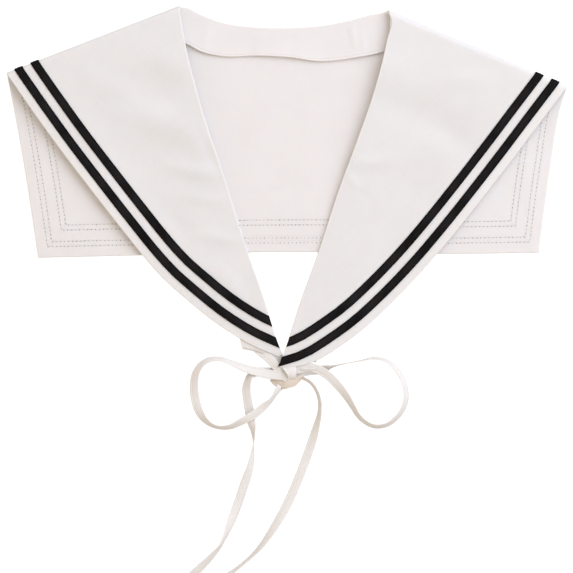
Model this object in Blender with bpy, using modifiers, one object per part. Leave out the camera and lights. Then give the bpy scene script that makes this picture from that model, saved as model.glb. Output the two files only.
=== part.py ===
"""Sailor collar of off-white cotton, laid flat with both fronts folded forward over its back flap.

The back flap lies face down on the table at z = 0, the fronts turn over it at the shoulder folds, and
two narrow ties are knotted in a bow below their points. One unit is a metre and +Z is up: +X runs along
the shoulders and +Y from the front points to the neck. The origin is the middle of the collar without
its ties, on the table. Tables and sizes are in millimetres until cloth() turns them into metres.
"""

import math
from collections import namedtuple

import bmesh
import bpy
import numpy as np

MM = 0.001

# Cloth and tape
CLOTH = 1.4  # upper and under collar, bagged out and turned: one wall
BAND = 1.2
BAND_WIDTH = 26.0
TAPE = 1.0
TAPE_WIDTH = 6.4
TIE = 1.0
TIE_WIDTH = 7.0
SEAM = 0.3  # between pieces that lie on each other

# The two stripes, measured in from the cut edge
BORDER = 6.3
STRIPE_GAP = 6.1

# Heights of the middle of the fronts' wall above the table, and how the shoulder fold's fullness fades
REST_ON_BACK = 4.1
REST_LEFT_POINT = 2.4
REST_RIGHT_POINT = 4.6
HEM_LEVEL = -56.0
POINT_LEVEL = -128.0
FOLD_FADE = 55.0
FOLD_HOLD = 25.0  # the swells start this far in from the shoulder fold

# How many strips each stretch is divided into
FOLD_STEPS = 8
FRONT_STEPS = 26
SIDE_STEPS = 8
HEM_STEPS = 20
ACROSS_STEPS = 10
BAND_STEPS = 3
STRIPE_STEPS = 30
STRIPE_FOLD_STEPS = 4
FINE_STEPS = 200  # where an edge is only measured along

Point = namedtuple("Point", "x y")
Fold = namedtuple("Fold", "peak corner radius_neck radius_corner neck_shift corner_shift point_height swells")
Turn = namedtuple("Turn", "x y lift tilt")
Swell = namedtuple("Swell", "x y along across turn height")

# Where the fronts stand off the flap or dip towards it. along and across are how far a swell reaches, and
# turn is the direction of its length from +X in degrees.
SWELLS_LEFT = [
    Swell(-136.0, -17.0, 62.0, 24.0, -52, 3.4),
    Swell(-59.0, 48.0, 58.0, 20.0, -72, 1.5),
    Swell(-106.0, 68.0, 34.0, 12.0, 15, -0.9),
    Swell(-108.0, 22.0, 34.0, 13.0, 20, -0.9),
    Swell(-66.0, -66.0, 30.0, 18.0, -38, 0.8),
]
SWELLS_RIGHT = [
    Swell(49.0, 34.0, 60.0, 22.0, 70, 2.2),
    Swell(126.0, -34.0, 52.0, 20.0, 51, 1.6),
    Swell(112.0, 50.0, 34.0, 12.0, -18, -0.9),
    Swell(86.0, 4.0, 30.0, 13.0, -24, -0.6),
]

# A shoulder fold runs from its peak at the neck to its corner, as the outline shows it. The shifts say
# how far the neck edge and the cut edge have moved along the fold where it meets the back and the front.
LEFT_FOLD = Fold(
    peak=Point(-80.2, 135.9),
    corner=Point(-210.2, 85.4),
    radius_neck=3.4,
    radius_corner=2.0,
    neck_shift=(-5.0, 1.5),
    corner_shift=(0.8, -0.7),
    point_height=REST_LEFT_POINT,
    swells=SWELLS_LEFT,
)
RIGHT_FOLD = Fold(
    peak=Point(76.2, 132.6),
    corner=Point(210.2, 75.6),
    radius_neck=3.4,
    radius_corner=2.0,
    neck_shift=(-5.0, 3.3),
    corner_shift=(0.8, -0.7),
    point_height=REST_RIGHT_POINT,
    swells=SWELLS_RIGHT,
)

# Edges in plan, from the shoulder fold down to the front point
NECK_LEFT = [
    Point(-79.5, 126.2),
    Point(-76.1, 107.0),
    Point(-61.2, 50.0),
    Point(-50.2, 17.0),
    Point(-27.3, -55.0),
    Point(-16.8, -85.0),
    Point(-10.1, -107.5),
    Point(-4.8, -122.5),
    Point(-3.0, -127.0),
]
EDGE_LEFT = [
    Point(-191.2, 57.5),
    Point(-169.6, 27.5),
    Point(-146.7, -2.5),
    Point(-123.3, -32.5),
    Point(-105.0, -55.2),
    Point(-91.3, -70.3),
    Point(-74.6, -85.0),
    Point(-56.2, -100.0),
    Point(-27.7, -118.0),
    Point(-5.2, -128.0),
]
NECK_RIGHT = [
    Point(77.4, 126.5),
    Point(74.5, 108.2),
    Point(65.0, 70.6),
    Point(52.5, 34.5),
    Point(38.7, -2.9),
    Point(21.0, -56.5),
    Point(10.5, -85.0),
    Point(3.4, -107.5),
    Point(-2.7, -125.8),
    Point(-6.9, -134.8),
]
EDGE_RIGHT = [
    Point(191.0, 50.0),
    Point(168.4, 20.0),
    Point(145.2, -10.0),
    Point(121.2, -40.0),
    Point(102.0, -62.5),
    Point(88.0, -77.5),
    Point(73.0, -92.5),
    Point(56.4, -107.5),
    Point(36.4, -122.0),
    Point(24.4, -129.3),
    Point(15.8, -132.7),
    Point(7.5, -134.7),
    Point(-5.6, -135.8),
]

# Edges of the back flap, from the left shoulder round to the right one
NECK_BACK = [
    Point(-66.5, 129.9),
    Point(-48.7, 123.1),
    Point(-21.0, 119.4),
    Point(2.3, 119.0),
    Point(24.8, 120.6),
    Point(51.0, 125.6),
    Point(60.4, 128.3),
]
SIDE_LEFT = [Point(-204.7, 57.8), Point(-195.5, 6.0), Point(-186.6, -53.4)]
HEM = [
    Point(-186.6, -53.4),
    Point(-108.0, -51.5),
    Point(-29.4, -49.3),
    Point(24.8, -49.0),
    Point(115.4, -50.5),
    Point(189.0, -49.6),
]
SIDE_RIGHT = [Point(189.0, -49.6), Point(197.3, 12.5), Point(208.0, 68.0)]
NECK_AT_LEFT_CORNER = 0.22  # share of the back neck edge that faces each hem corner
NECK_AT_RIGHT_CORNER = 0.78

# The band's free edge on the back, which waves a little, and its two ends below the front points
BAND_BACK_FREE = [
    Point(-91.0, 113.5),
    Point(-75.7, 107.0),
    Point(-63.0, 100.6),
    Point(-48.8, 97.7),
    Point(-21.0, 98.0),
    Point(2.3, 96.7),
    Point(24.8, 93.8),
    Point(51.0, 96.5),
    Point(72.0, 100.9),
    Point(85.0, 106.5),
]
BAND_END_LEFT = (Point(-4.6, -126.0), Point(-33.4, -121.8))
BAND_END_RIGHT = (Point(0.2, -120.0), Point(21.5, -131.9))
BAND_WAVE = 0.8
BAND_WAVES = 3
BAND_TAPER = 16.0  # the band's free edge turns in towards its end over this height
BAND_FOLD_ROWS = 3  # and it leaves the shoulder fold over this many of the front's rows

# The ties. lift is the height of the tape's lower edge above the table, tilt turns the tape about its
# run: 0 lies flat, 90 stands on edge, and past 90 it has turned over.
TIE_BASE_LEFT = [
    Turn(-17.4, -124.9, 0.3, 0),
    Turn(-17.5, -127.2, 0.4, 0),
    Turn(-15.6, -130.0, 1.2, 0),
    Turn(-12.9, -133.2, 1.9, 0),
    Turn(-9.6, -136.8, 1.9, 0),
    Turn(-5.8, -139.2, 1.8, 0),
    Turn(-2.6, -139.6, 1.8, 0),
]
TIE_BASE_RIGHT = [
    Turn(10.6, -126.5, 2.4, 0),
    Turn(9.0, -129.0, 2.0, 0),
    Turn(5.2, -131.8, 1.5, 0),
    Turn(3.2, -133.8, 1.5, 0),
    Turn(3.0, -135.4, 1.5, 0),
]
LOOP_LEFT = [
    Turn(-2.6, -140.0, 3.2, 0),
    Turn(-9.0, -139.7, 3.2, 0),
    Turn(-18.5, -137.8, 3.3, 12),
    Turn(-28.5, -136.0, 2.6, 34),
    Turn(-39.5, -132.8, 1.4, 52),
    Turn(-49.0, -129.3, 0.6, 62),
    Turn(-57.0, -129.3, 0.4, 60),
    Turn(-63.2, -132.3, 0.3, 52),
    Turn(-67.5, -138.0, 0.3, 38),
    Turn(-69.6, -149.0, 0.3, 20),
    Turn(-68.3, -160.5, 0.3, 10),
    Turn(-65.5, -169.0, 0.3, 20),
    Turn(-61.2, -175.2, 0.3, 48),
    Turn(-54.5, -179.6, 0.4, 70),
    Turn(-44.5, -180.4, 1.0, 72),
    Turn(-33.6, -175.8, 3.0, 52),
    Turn(-24.5, -170.6, 3.3, 36),
    Turn(-17.2, -164.9, 2.2, 50),
    Turn(-12.1, -160.3, 0.8, 72),
    Turn(-8.9, -155.8, 0.4, 62),
    Turn(-6.6, -152.3, 0.3, 50),
]
LOOP_RIGHT = [
    Turn(7.5, -139.3, 2.9, 0),
    Turn(14.5, -138.6, 2.9, 4),
    Turn(22.5, -138.0, 3.6, 10),
    Turn(30.0, -141.2, 4.0, 14),
    Turn(37.5, -148.2, 2.8, 18),
    Turn(44.7, -157.3, 1.2, 36),
    Turn(49.5, -165.2, 0.5, 55),
    Turn(53.6, -171.8, 0.4, 66),
    Turn(58.0, -176.0, 0.3, 74),
    Turn(65.0, -179.5, 0.3, 76),
    Turn(74.6, -178.6, 0.3, 74),
    Turn(81.3, -174.1, 0.3, 72),
    Turn(86.6, -167.4, 0.3, 74),
    Turn(89.7, -158.9, 0.3, 77),
    Turn(89.3, -151.4, 0.3, 76),
    Turn(86.3, -143.0, 0.3, 78),
    Turn(80.7, -135.3, 0.3, 80),
    Turn(74.0, -130.2, 0.3, 84),
    Turn(65.0, -128.6, 0.3, 88),
    Turn(54.6, -130.6, 0.3, 92),
    Turn(43.0, -132.6, 0.3, 97),
    Turn(35.8, -134.2, 0.3, 112),
    Turn(31.0, -135.6, 0.3, 142),
    Turn(26.4, -137.0, 0.3, 165),
    Turn(19.0, -138.8, 0.3, 178),
    Turn(7.5, -139.8, 0.3, 180),
]
TAIL_LEFT = [
    Turn(-2.6, -139.7, 0.3, 0),
    Turn(-9.0, -139.6, 0.3, 0),
    Turn(-17.5, -138.8, 0.3, 0),
    Turn(-23.6, -139.2, 0.3, 22),
    Turn(-27.6, -142.0, 0.3, 44),
    Turn(-29.6, -146.6, 0.3, 38),
    Turn(-30.4, -151.8, 0.3, 20),
    Turn(-29.8, -157.5, 0.3, 14),
    Turn(-28.6, -165.5, 0.3, 8),
    Turn(-27.0, -174.5, 0.3, 10),
    Turn(-25.3, -183.0, 0.3, 56),
    Turn(-24.9, -191.5, 0.3, 86),
    Turn(-25.6, -199.5, 0.3, 112),
    Turn(-27.3, -209.5, 0.3, 136),
    Turn(-30.7, -220.0, 0.3, 166),
    Turn(-35.2, -233.5, 0.3, 180),
    Turn(-39.3, -244.8, 0.3, 168),
    Turn(-43.4, -255.3, 0.3, 138),
    Turn(-46.8, -263.5, 0.3, 114),
    Turn(-50.0, -269.5, 0.3, 112),
    Turn(-55.0, -275.5, 0.3, 126),
    Turn(-61.8, -282.6, 0.3, 142),
    Turn(-72.0, -292.0, 0.3, 160),
    Turn(-82.5, -300.5, 0.3, 175),
]
TAIL_RIGHT = [
    Turn(12.4, -143.9, 0.3, 80),
    Turn(17.8, -146.8, 0.3, 80),
    Turn(22.4, -153.0, 0.3, 78),
    Turn(24.7, -160.6, 0.3, 74),
    Turn(24.6, -169.0, 0.3, 68),
    Turn(22.0, -180.0, 0.3, 40),
    Turn(18.4, -192.5, 0.3, 12),
    Turn(14.0, -205.0, 0.3, 0),
    Turn(7.5, -221.8, 0.3, 0),
    Turn(0.9, -236.8, 0.3, 4),
    Turn(-6.0, -249.5, 0.3, 20),
    Turn(-12.7, -260.2, 0.3, 40),
    Turn(-18.3, -268.0, 0.3, 54),
    Turn(-24.7, -275.2, 0.3, 66),
    Turn(-33.0, -282.6, 0.3, 74),
    Turn(-43.5, -290.8, 0.3, 60),
    Turn(-54.5, -298.5, 0.3, 30),
]
BASE_STATIONS = 10
LOOP_STATIONS = 52
TAIL_STATIONS = 44

# The bow's knot: a wrap over the strands, and the folded tape that shows below it
WRAP_SIZE = (8.8, 7.4, 6.9)
WRAP_PLACE = (2.5, -139.7, 3.75)
WRAP_ROUNDING = 1.6
KNOT_FOLD = [
    Point(-12.6, -144.2),
    Point(-11.2, -147.6),
    Point(-8.4, -150.6),
    Point(-1.6, -152.0),
    Point(6.0, -150.0),
    Point(10.4, -145.6),
    Point(10.6, -144.2),
]
KNOT_FOLD_HEIGHT = 4.0
KNOT_ROUNDING = 0.9

COLOURS = {
    "off_white_cotton": ((0.83, 0.80, 0.76), 0.85),
    "band_cotton": ((0.84, 0.82, 0.78), 0.85),
    "black_tape": ((0.012, 0.012, 0.015), 0.6),
    "ivory_tie": ((0.82, 0.77, 0.71), 0.8),
}


def clear_scene():
    for obj in list(bpy.data.objects):
        bpy.data.objects.remove(obj, do_unlink=True)


def material(name, node):
    """A Principled BSDF for one node, in the colour and roughness of its finish."""
    colour, roughness = COLOURS[name]
    made = bpy.data.materials.new(f"{node}_{name}")
    made.use_nodes = True
    shader = made.node_tree.nodes["Principled BSDF"]
    shader.inputs["Base Color"].default_value = (*colour, 1.0)
    shader.inputs["Roughness"].default_value = roughness
    shader.inputs["Metallic"].default_value = 0.0
    made.diffuse_color = (*colour, 1.0)
    return made


def finish_object(name, mesh, finish, group):
    obj = bpy.data.objects.new(name, mesh)
    mesh.materials.append(material(finish, name))
    group.objects.link(obj)
    return obj


def cloth(name, rows, wall, finish, group):
    """A wall of cloth whose middle goes through rows of points in millimetres: an open sheet and Solidify."""
    bm = bmesh.new()
    grid = [[bm.verts.new(np.asarray(point) * MM) for point in row] for row in rows]
    for row, after in zip(grid, grid[1:]):
        for j in range(len(row) - 1):
            bm.faces.new((row[j], row[j + 1], after[j + 1], after[j]))
    mesh = bpy.data.meshes.new(name)
    bm.to_mesh(mesh)
    bm.free()
    mesh.shade_smooth()
    obj = finish_object(name, mesh, finish, group)
    solidify = obj.modifiers.new("wall", "SOLIDIFY")
    solidify.thickness = wall * MM
    solidify.offset = 0.0
    solidify.use_even_offset = True
    return obj


def smooth(rows, count):
    """count + 1 points on one smooth curve through the rows, evenly spaced along it in plan."""
    rows = np.array([tuple(row) for row in rows], float)
    gaps = np.linalg.norm(np.diff(rows[:, :2], axis=0), axis=1)
    at = np.concatenate([[0.0], np.cumsum(gaps)])
    slopes = np.diff(rows, axis=0) / gaps[:, None]
    inner = (slopes[:-1] * gaps[1:, None] + slopes[1:] * gaps[:-1, None]) / (gaps[:-1] + gaps[1:])[:, None]
    tangents = np.vstack([slopes[:1], inner, slopes[-1:]])
    where = np.linspace(0.0, at[-1], count + 1)
    span = np.clip(np.searchsorted(at, where, side="right") - 1, 0, len(gaps) - 1)
    width = gaps[span][:, None]
    t = ((where - at[span]) / gaps[span])[:, None]
    start, end = rows[span], rows[span + 1]
    return (
        (2 * t**3 - 3 * t**2 + 1) * start
        + (t**3 - 2 * t**2 + t) * width * tangents[span]
        + (3 * t**2 - 2 * t**3) * end
        + (t**3 - t**2) * width * tangents[span + 1]
    )


def even(points, count):
    """The line through points as count + 1 points, evenly spaced."""
    points = np.asarray(points, float)
    at = np.concatenate([[0.0], np.cumsum(np.linalg.norm(np.diff(points[:, :2], axis=0), axis=1))])
    where = np.linspace(0.0, at[-1], count + 1)
    return np.stack([np.interp(where, at, points[:, k]) for k in range(points.shape[1])], axis=1)


def crossing(line, blade):
    """(place along line, point) where line first crosses blade, both lists of points in plan."""
    for i, (a, b) in enumerate(zip(line, line[1:])):
        for c, d in zip(blade, blade[1:]):
            run, cut = b - a, d - c
            area = run[0] * cut[1] - run[1] * cut[0]
            if abs(area) < 1e-9:
                continue
            gap = c - a
            along = (gap[0] * cut[1] - gap[1] * cut[0]) / area
            on_blade = (gap[0] * run[1] - gap[1] * run[0]) / area
            if 0.0 <= along <= 1.0 and 0.0 <= on_blade <= 1.0:
                return i, a + along * run
    raise ValueError("the lines do not cross")


def smoothstep(t):
    t = np.clip(t, 0.0, 1.0)
    return t * t * (3.0 - 2.0 * t)


# A shoulder fold is half a cone: its wall's middle turns about an axis that lies inside the outline.


def fold_axes(fold):
    """(length, direction from the peak to the corner, outward normal) in plan."""
    peak, corner = np.array(fold.peak), np.array(fold.corner)
    length = np.linalg.norm(corner - peak)
    along = (corner - peak) / length
    outward = np.array([-along[1], along[0]])
    return length, along, outward if outward[1] > 0 else -outward


def fold_radius(fold, place):
    length = fold_axes(fold)[0]
    share = np.clip(place / length, 0.0, 1.0)
    return fold.radius_neck + (fold.radius_corner - fold.radius_neck) * share


def fold_point(fold, place, angle, out=0.0):
    """A point out of the fold's middle surface: angle is -90 on the back and 90 on the front."""
    _, along, outward = fold_axes(fold)
    radius = fold_radius(fold, place)
    turn = math.radians(angle)
    axis = np.array(fold.peak) + along * place - outward * (radius + CLOTH / 2)
    plan = axis + outward * (radius + out) * math.cos(turn)
    return np.array([*plan, CLOTH / 2 + radius + (radius + out) * math.sin(turn)])


def fold_shift(shifts, angle):
    """How far an edge has moved along the fold at this angle: nothing at the crease."""
    back, front = shifts
    share = angle / 90.0
    return front * share**2 if share > 0 else back * share**2


def swell_height(swells, point):
    """The swells' height together at this point in plan."""
    total = 0.0
    for swell in swells:
        x, y = point[0] - swell.x, point[1] - swell.y
        turn = math.radians(swell.turn)
        along = (x * math.cos(turn) + y * math.sin(turn)) / swell.along
        across_it = (y * math.cos(turn) - x * math.sin(turn)) / swell.across
        total += swell.height * math.exp(-(along**2) - across_it**2)
    return total


def front_height(fold, point):
    """Height of the middle of a front's wall: full at the shoulder fold, then lying on what is under it."""
    _, along, outward = fold_axes(fold)
    offset = np.asarray(point[:2]) - np.array(fold.peak)
    place = offset @ along
    radius = fold_radius(fold, place)
    inside = max(0.0, -(offset @ outward) - radius - CLOTH / 2)
    over_back = smoothstep((point[1] - POINT_LEVEL) / (HEM_LEVEL - POINT_LEVEL))
    rest = fold.point_height + (REST_ON_BACK - fold.point_height) * over_back
    full = CLOTH / 2 + 2 * radius
    fullness = (full - rest) * math.exp(-((inside / FOLD_FADE) ** 2))
    return rest + fullness + swell_height(fold.swells, point) * smoothstep(inside / FOLD_HOLD)


def on_front(fold, point, out=0.0):
    return np.array([point[0], point[1], front_height(fold, point) + out])


def fold_ends(fold, angle):
    """Places along the fold of the neck edge and of the cut edge at this angle."""
    length = fold_axes(fold)[0]
    return fold_shift(fold.neck_shift, angle), length + fold_shift(fold.corner_shift, angle)


def front_edges(fold, neck, edge):
    """The neck edge and the cut edge of a front in plan, from the fold to the point."""
    at_neck, at_corner = fold_ends(fold, 90)
    neck_start = Point(*fold_point(fold, at_neck, 90)[:2])
    edge_start = Point(*fold_point(fold, at_corner, 90)[:2])
    return smooth([neck_start, *neck], FRONT_STEPS), smooth([edge_start, *edge], FRONT_STEPS)


def inward_normals(line, towards):
    """A unit vector square to the line at each of its points, on the side that towards points to."""
    runs = np.gradient(line, axis=0)
    runs /= np.linalg.norm(runs, axis=1)[:, None]
    normals = np.stack([-runs[:, 1], runs[:, 0]], axis=1)
    return normals * np.sign(normals[0] @ towards)


def across(start, end, steps):
    return [start + (end - start) * j / steps for j in range(steps + 1)]


def front_rows(fold, neck, edge):
    """Rows of the front from the fold to its point."""
    neck_line, edge_line = front_edges(fold, neck, edge)
    return [
        [on_front(fold, point) for point in across(a, b, ACROSS_STEPS)]
        for a, b in zip(neck_line, edge_line)
    ]


def fold_rows(fold):
    """Rows round the fold from the front to the back, leaving out both ends."""
    rows = []
    for step in range(1, FOLD_STEPS):
        angle = 90 - 180 * step / FOLD_STEPS
        at_neck, at_corner = fold_ends(fold, angle)
        places = np.linspace(at_neck, at_corner, ACROSS_STEPS + 1)
        rows.append([fold_point(fold, place, angle) for place in places])
    return rows


def back_neck():
    """The back's neck edge in plan, from the left fold to the right one."""
    left = fold_point(LEFT_FOLD, fold_ends(LEFT_FOLD, -90)[0], -90)
    right = fold_point(RIGHT_FOLD, fold_ends(RIGHT_FOLD, -90)[0], -90)
    return [Point(*left[:2]), *NECK_BACK, Point(*right[:2])]


def back_rows():
    """Rows of the back flap: they fan from its neck edge to its sides and hem."""
    left = fold_point(LEFT_FOLD, fold_ends(LEFT_FOLD, -90)[1], -90)
    right = fold_point(RIGHT_FOLD, fold_ends(RIGHT_FOLD, -90)[1], -90)
    edge = np.vstack([
        smooth([Point(*left[:2]), *SIDE_LEFT], SIDE_STEPS),
        smooth(HEM, HEM_STEPS)[1:],
        smooth([*SIDE_RIGHT, Point(*right[:2])], SIDE_STEPS)[1:],
    ])
    shares = np.interp(
        np.arange(len(edge)),
        [0, SIDE_STEPS, SIDE_STEPS + HEM_STEPS, len(edge) - 1],
        [0.0, NECK_AT_LEFT_CORNER, NECK_AT_RIGHT_CORNER, 1.0],
    )
    fine = smooth(back_neck(), FINE_STEPS)
    at = np.linspace(0.0, 1.0, FINE_STEPS + 1)
    neck = np.stack([np.interp(shares, at, fine[:, k]) for k in range(2)], axis=1)
    level = CLOTH / 2
    return [
        [np.array([*point, level]) for point in across(a, b, ACROSS_STEPS)]
        for a, b in zip(neck, edge)
    ]


def collar_body(group):
    rows = front_rows(LEFT_FOLD, NECK_LEFT, EDGE_LEFT)[::-1]
    rows += fold_rows(LEFT_FOLD)
    rows += back_rows()
    rows += fold_rows(RIGHT_FOLD)[::-1]
    rows += front_rows(RIGHT_FOLD, NECK_RIGHT, EDGE_RIGHT)
    return cloth("collar_body", rows, CLOTH, "off_white_cotton", group)


BAND_IN = CLOTH / 2 + SEAM + BAND / 2  # from the middle of the collar's wall to the middle of the band's


def band_front_rows(fold, neck, edge, end):
    """Rows of the band under a front, from the fold to its end below the point."""
    line, edge_line = front_edges(fold, neck, edge)
    inward = inward_normals(line, edge_line[0] - line[0])
    at_neck = fold_ends(fold, 90)[0]
    start = fold_point(fold, at_neck + BAND_WIDTH, 90)[:2]
    reach = [
        Point(*(line[i] + inward[i] * BAND_WIDTH))
        for i in range(BAND_FOLD_ROWS, len(line))
        if line[i][1] > end[0].y + BAND_TAPER
    ]
    free = smooth([Point(*start), *reach, end[1]], FRONT_STEPS)
    neck_line = even([point for point in line if point[1] > end[0].y] + [end[0]], FRONT_STEPS)
    return [
        [on_front(fold, point, -BAND_IN) for point in across(a, b, BAND_STEPS)]
        for a, b in zip(neck_line, free)
    ]


def band_fold_rows(fold):
    rows = []
    for step in range(1, FOLD_STEPS):
        angle = 90 - 180 * step / FOLD_STEPS
        at_neck = fold_ends(fold, angle)[0]
        places = np.linspace(at_neck, at_neck + BAND_WIDTH, BAND_STEPS + 1)
        rows.append([fold_point(fold, place, angle, -BAND_IN) for place in places])
    return rows


def band_back_rows():
    """Rows of the band on the back flap, whose free edge lifts a little in waves."""
    ends = []
    for fold in (LEFT_FOLD, RIGHT_FOLD):
        place = fold_ends(fold, -90)[0] + BAND_WIDTH
        ends.append(Point(*fold_point(fold, place, -90)[:2]))
    steps = HEM_STEPS + SIDE_STEPS
    neck = smooth(back_neck(), steps)
    free = smooth([ends[0], *BAND_BACK_FREE, ends[1]], steps)
    level = CLOTH / 2 + BAND_IN
    rows = []
    for i, (a, b) in enumerate(zip(neck, free)):
        wave = BAND_WAVE * math.sin(math.pi * BAND_WAVES * i / steps) ** 2
        heights = level + wave * np.linspace(0.0, 1.0, BAND_STEPS + 1) ** 2
        rows.append([np.array([*point, height]) for point, height in zip(across(a, b, BAND_STEPS), heights)])
    return rows


def neck_band(group):
    rows = band_front_rows(LEFT_FOLD, NECK_LEFT, EDGE_LEFT, BAND_END_LEFT)[::-1]
    rows += band_fold_rows(LEFT_FOLD)
    rows += band_back_rows()
    rows += band_fold_rows(RIGHT_FOLD)[::-1]
    rows += band_front_rows(RIGHT_FOLD, NECK_RIGHT, EDGE_RIGHT, BAND_END_RIGHT)
    return cloth("neck_band", rows, BAND, "band_cotton", group)


STRIPE_OUT = CLOTH / 2 + SEAM + TAPE / 2  # from the middle of the collar's wall to the middle of the tape's
STRIPE_LAST_ANGLE = -10  # just past the crease, so that the tape shows on the fold


def stripe_line(fold, neck, edge, inset):
    """One edge of a stripe: round the shoulder fold, then inset from the cut edge down to the neck edge."""
    neck_line, edge_line = front_edges(fold, neck, edge)
    at_neck, at_corner = fold_ends(fold, 90)
    crease = np.array([fold_point(fold, place, 90)[:2] for place in (at_neck, at_corner)])
    fine = even(edge_line, FINE_STEPS)
    line = fine + inward_normals(fine, neck_line[0] - edge_line[0]) * inset
    before = line[0] + (line[0] - line[1]) * inset
    line = np.vstack([before, line])
    first, start = crossing(line, crease)
    last, end = crossing(line[first + 1 :], neck_line)
    line = np.vstack([start, line[first + 1 : first + last + 2], end])
    place = (start - np.array(fold.peak)) @ fold_axes(fold)[1]
    over = []
    for angle in np.linspace(STRIPE_LAST_ANGLE, 90, STRIPE_FOLD_STEPS + 1)[:-1]:
        moved = fold_shift(fold.corner_shift, angle) - fold.corner_shift[1]
        over.append(fold_point(fold, place + moved, angle, STRIPE_OUT))
    return over + [on_front(fold, point, STRIPE_OUT) for point in even(line, STRIPE_STEPS)]


def stripe(name, fold, neck, edge, inset, group):
    lines = [stripe_line(fold, neck, edge, inset + across_tape) for across_tape in (0.0, TAPE_WIDTH)]
    rows = list(zip(*lines))
    return cloth(name, rows, TAPE, "black_tape", group)


def tie(name, turns, stations, group):
    """A flat tape along its route, turned about its run, with its lower edge at the table's lift."""
    route = smooth(turns, stations)
    runs = np.gradient(route[:, :2], axis=0)
    runs /= np.linalg.norm(runs, axis=1)[:, None]
    rows = []
    for (x, y, lift, tilt), run in zip(route, runs):
        turn = math.radians(tilt)
        half = TIE_WIDTH / 2 * np.array([-run[1] * math.cos(turn), run[0] * math.cos(turn), math.sin(turn)])
        height = lift + abs(half[2]) + TIE / 2 * abs(math.cos(turn))
        middle = np.array([x, y, height])
        rows.append([middle - half, middle + half])
    return cloth(name, rows, TIE, "ivory_tie", group)


def bow_wrap(group):
    bm = bmesh.new()
    bmesh.ops.create_cube(bm, size=1.0)
    bmesh.ops.scale(bm, vec=np.array(WRAP_SIZE) * MM, verts=bm.verts)
    mesh = bpy.data.meshes.new("bow_wrap")
    bm.to_mesh(mesh)
    bm.free()
    obj = finish_object("bow_wrap", mesh, "ivory_tie", group)
    obj.location = np.array(WRAP_PLACE) * MM
    round_off(obj, WRAP_ROUNDING)


def bow_fold(group):
    """The folded tape below the wrap: its outline, drawn up from the table."""
    bm = bmesh.new()
    base = [bm.verts.new((point.x * MM, point.y * MM, SEAM * MM)) for point in KNOT_FOLD]
    face = bm.faces.new(base)
    raised = bmesh.ops.extrude_face_region(bm, geom=[face])
    top = [item for item in raised["geom"] if isinstance(item, bmesh.types.BMVert)]
    bmesh.ops.translate(bm, vec=(0.0, 0.0, KNOT_FOLD_HEIGHT * MM), verts=top)
    bmesh.ops.recalc_face_normals(bm, faces=bm.faces)
    mesh = bpy.data.meshes.new("bow_fold")
    bm.to_mesh(mesh)
    bm.free()
    round_off(finish_object("bow_fold", mesh, "ivory_tie", group), KNOT_ROUNDING)


def round_off(obj, radius):
    bevel = obj.modifiers.new("rounding", "BEVEL")
    bevel.width = radius * MM
    bevel.segments = 3
    obj.data.shade_smooth()


def build():
    clear_scene()
    group = bpy.data.collections.new("sailor_collar")
    bpy.context.scene.collection.children.link(group)
    collar_body(group)
    neck_band(group)
    inner = BORDER + TAPE_WIDTH + STRIPE_GAP
    for side, fold, neck, edge in (
        ("left", LEFT_FOLD, NECK_LEFT, EDGE_LEFT),
        ("right", RIGHT_FOLD, NECK_RIGHT, EDGE_RIGHT),
    ):
        stripe(f"stripe_{side}_outer", fold, neck, edge, BORDER, group)
        stripe(f"stripe_{side}_inner", fold, neck, edge, inner, group)
    tie("tie_base_left", TIE_BASE_LEFT, BASE_STATIONS, group)
    tie("tie_base_right", TIE_BASE_RIGHT, BASE_STATIONS, group)
    tie("bow_loop_left", LOOP_LEFT, LOOP_STATIONS, group)
    tie("bow_loop_right", LOOP_RIGHT, LOOP_STATIONS, group)
    tie("tie_tail_left", TAIL_LEFT, TAIL_STATIONS, group)
    tie("tie_tail_right", TAIL_RIGHT, TAIL_STATIONS, group)
    bow_wrap(group)
    bow_fold(group)


build()
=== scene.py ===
# %% [markdown]
# # A sailor collar, laid flat and tied in a bow
#
# The real collar is two layers of off-white cotton, bagged out and turned, with a neck band along its
# neck edge, four black tapes and two narrow ties. It lies on a table with its back flap face down and
# its fronts folded forward over the flap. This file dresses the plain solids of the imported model: each
# cell makes one piece or one finish and says why it is made so.
#
# Tables are in millimetres, as a maker would measure the collar. The scene itself is in metres.

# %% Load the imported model
import math
from collections import namedtuple

import bpy
import numpy as np
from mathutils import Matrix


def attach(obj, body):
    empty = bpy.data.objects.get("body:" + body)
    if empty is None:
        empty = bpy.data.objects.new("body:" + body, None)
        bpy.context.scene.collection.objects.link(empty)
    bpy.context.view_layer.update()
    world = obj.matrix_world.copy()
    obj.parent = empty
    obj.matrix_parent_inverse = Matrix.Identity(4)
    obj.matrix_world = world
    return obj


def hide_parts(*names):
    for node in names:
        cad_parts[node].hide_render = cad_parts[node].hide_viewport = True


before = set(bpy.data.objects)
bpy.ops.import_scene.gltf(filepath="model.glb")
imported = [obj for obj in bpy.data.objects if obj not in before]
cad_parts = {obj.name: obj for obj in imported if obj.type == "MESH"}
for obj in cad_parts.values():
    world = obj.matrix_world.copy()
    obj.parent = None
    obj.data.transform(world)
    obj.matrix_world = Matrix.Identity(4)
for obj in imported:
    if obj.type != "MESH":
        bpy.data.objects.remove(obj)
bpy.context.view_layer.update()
MM = 0.001
print("nodes:", sorted(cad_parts))

# %% [markdown]
# ## Camera
#
# A product picture of a flat garment is taken from straight above with a long lens, so that nothing
# tapers. A lens of about 250 mm at three metres shows 430 mm of table, the width of this picture, and the
# camera sits over the middle of it. An orthographic camera would give the same picture, but a long lens
# keeps the small parallax that a real one has.

# %% Point a long lens straight down
PICTURE_WIDTH = 429.75
CAMERA_HEIGHT = 3000.0
CAMERA_PLACE = (-0.34, -74.9, CAMERA_HEIGHT)
SENSOR = 36.0
SEEN_UP_TO = 20.0  # metres from the camera


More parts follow.
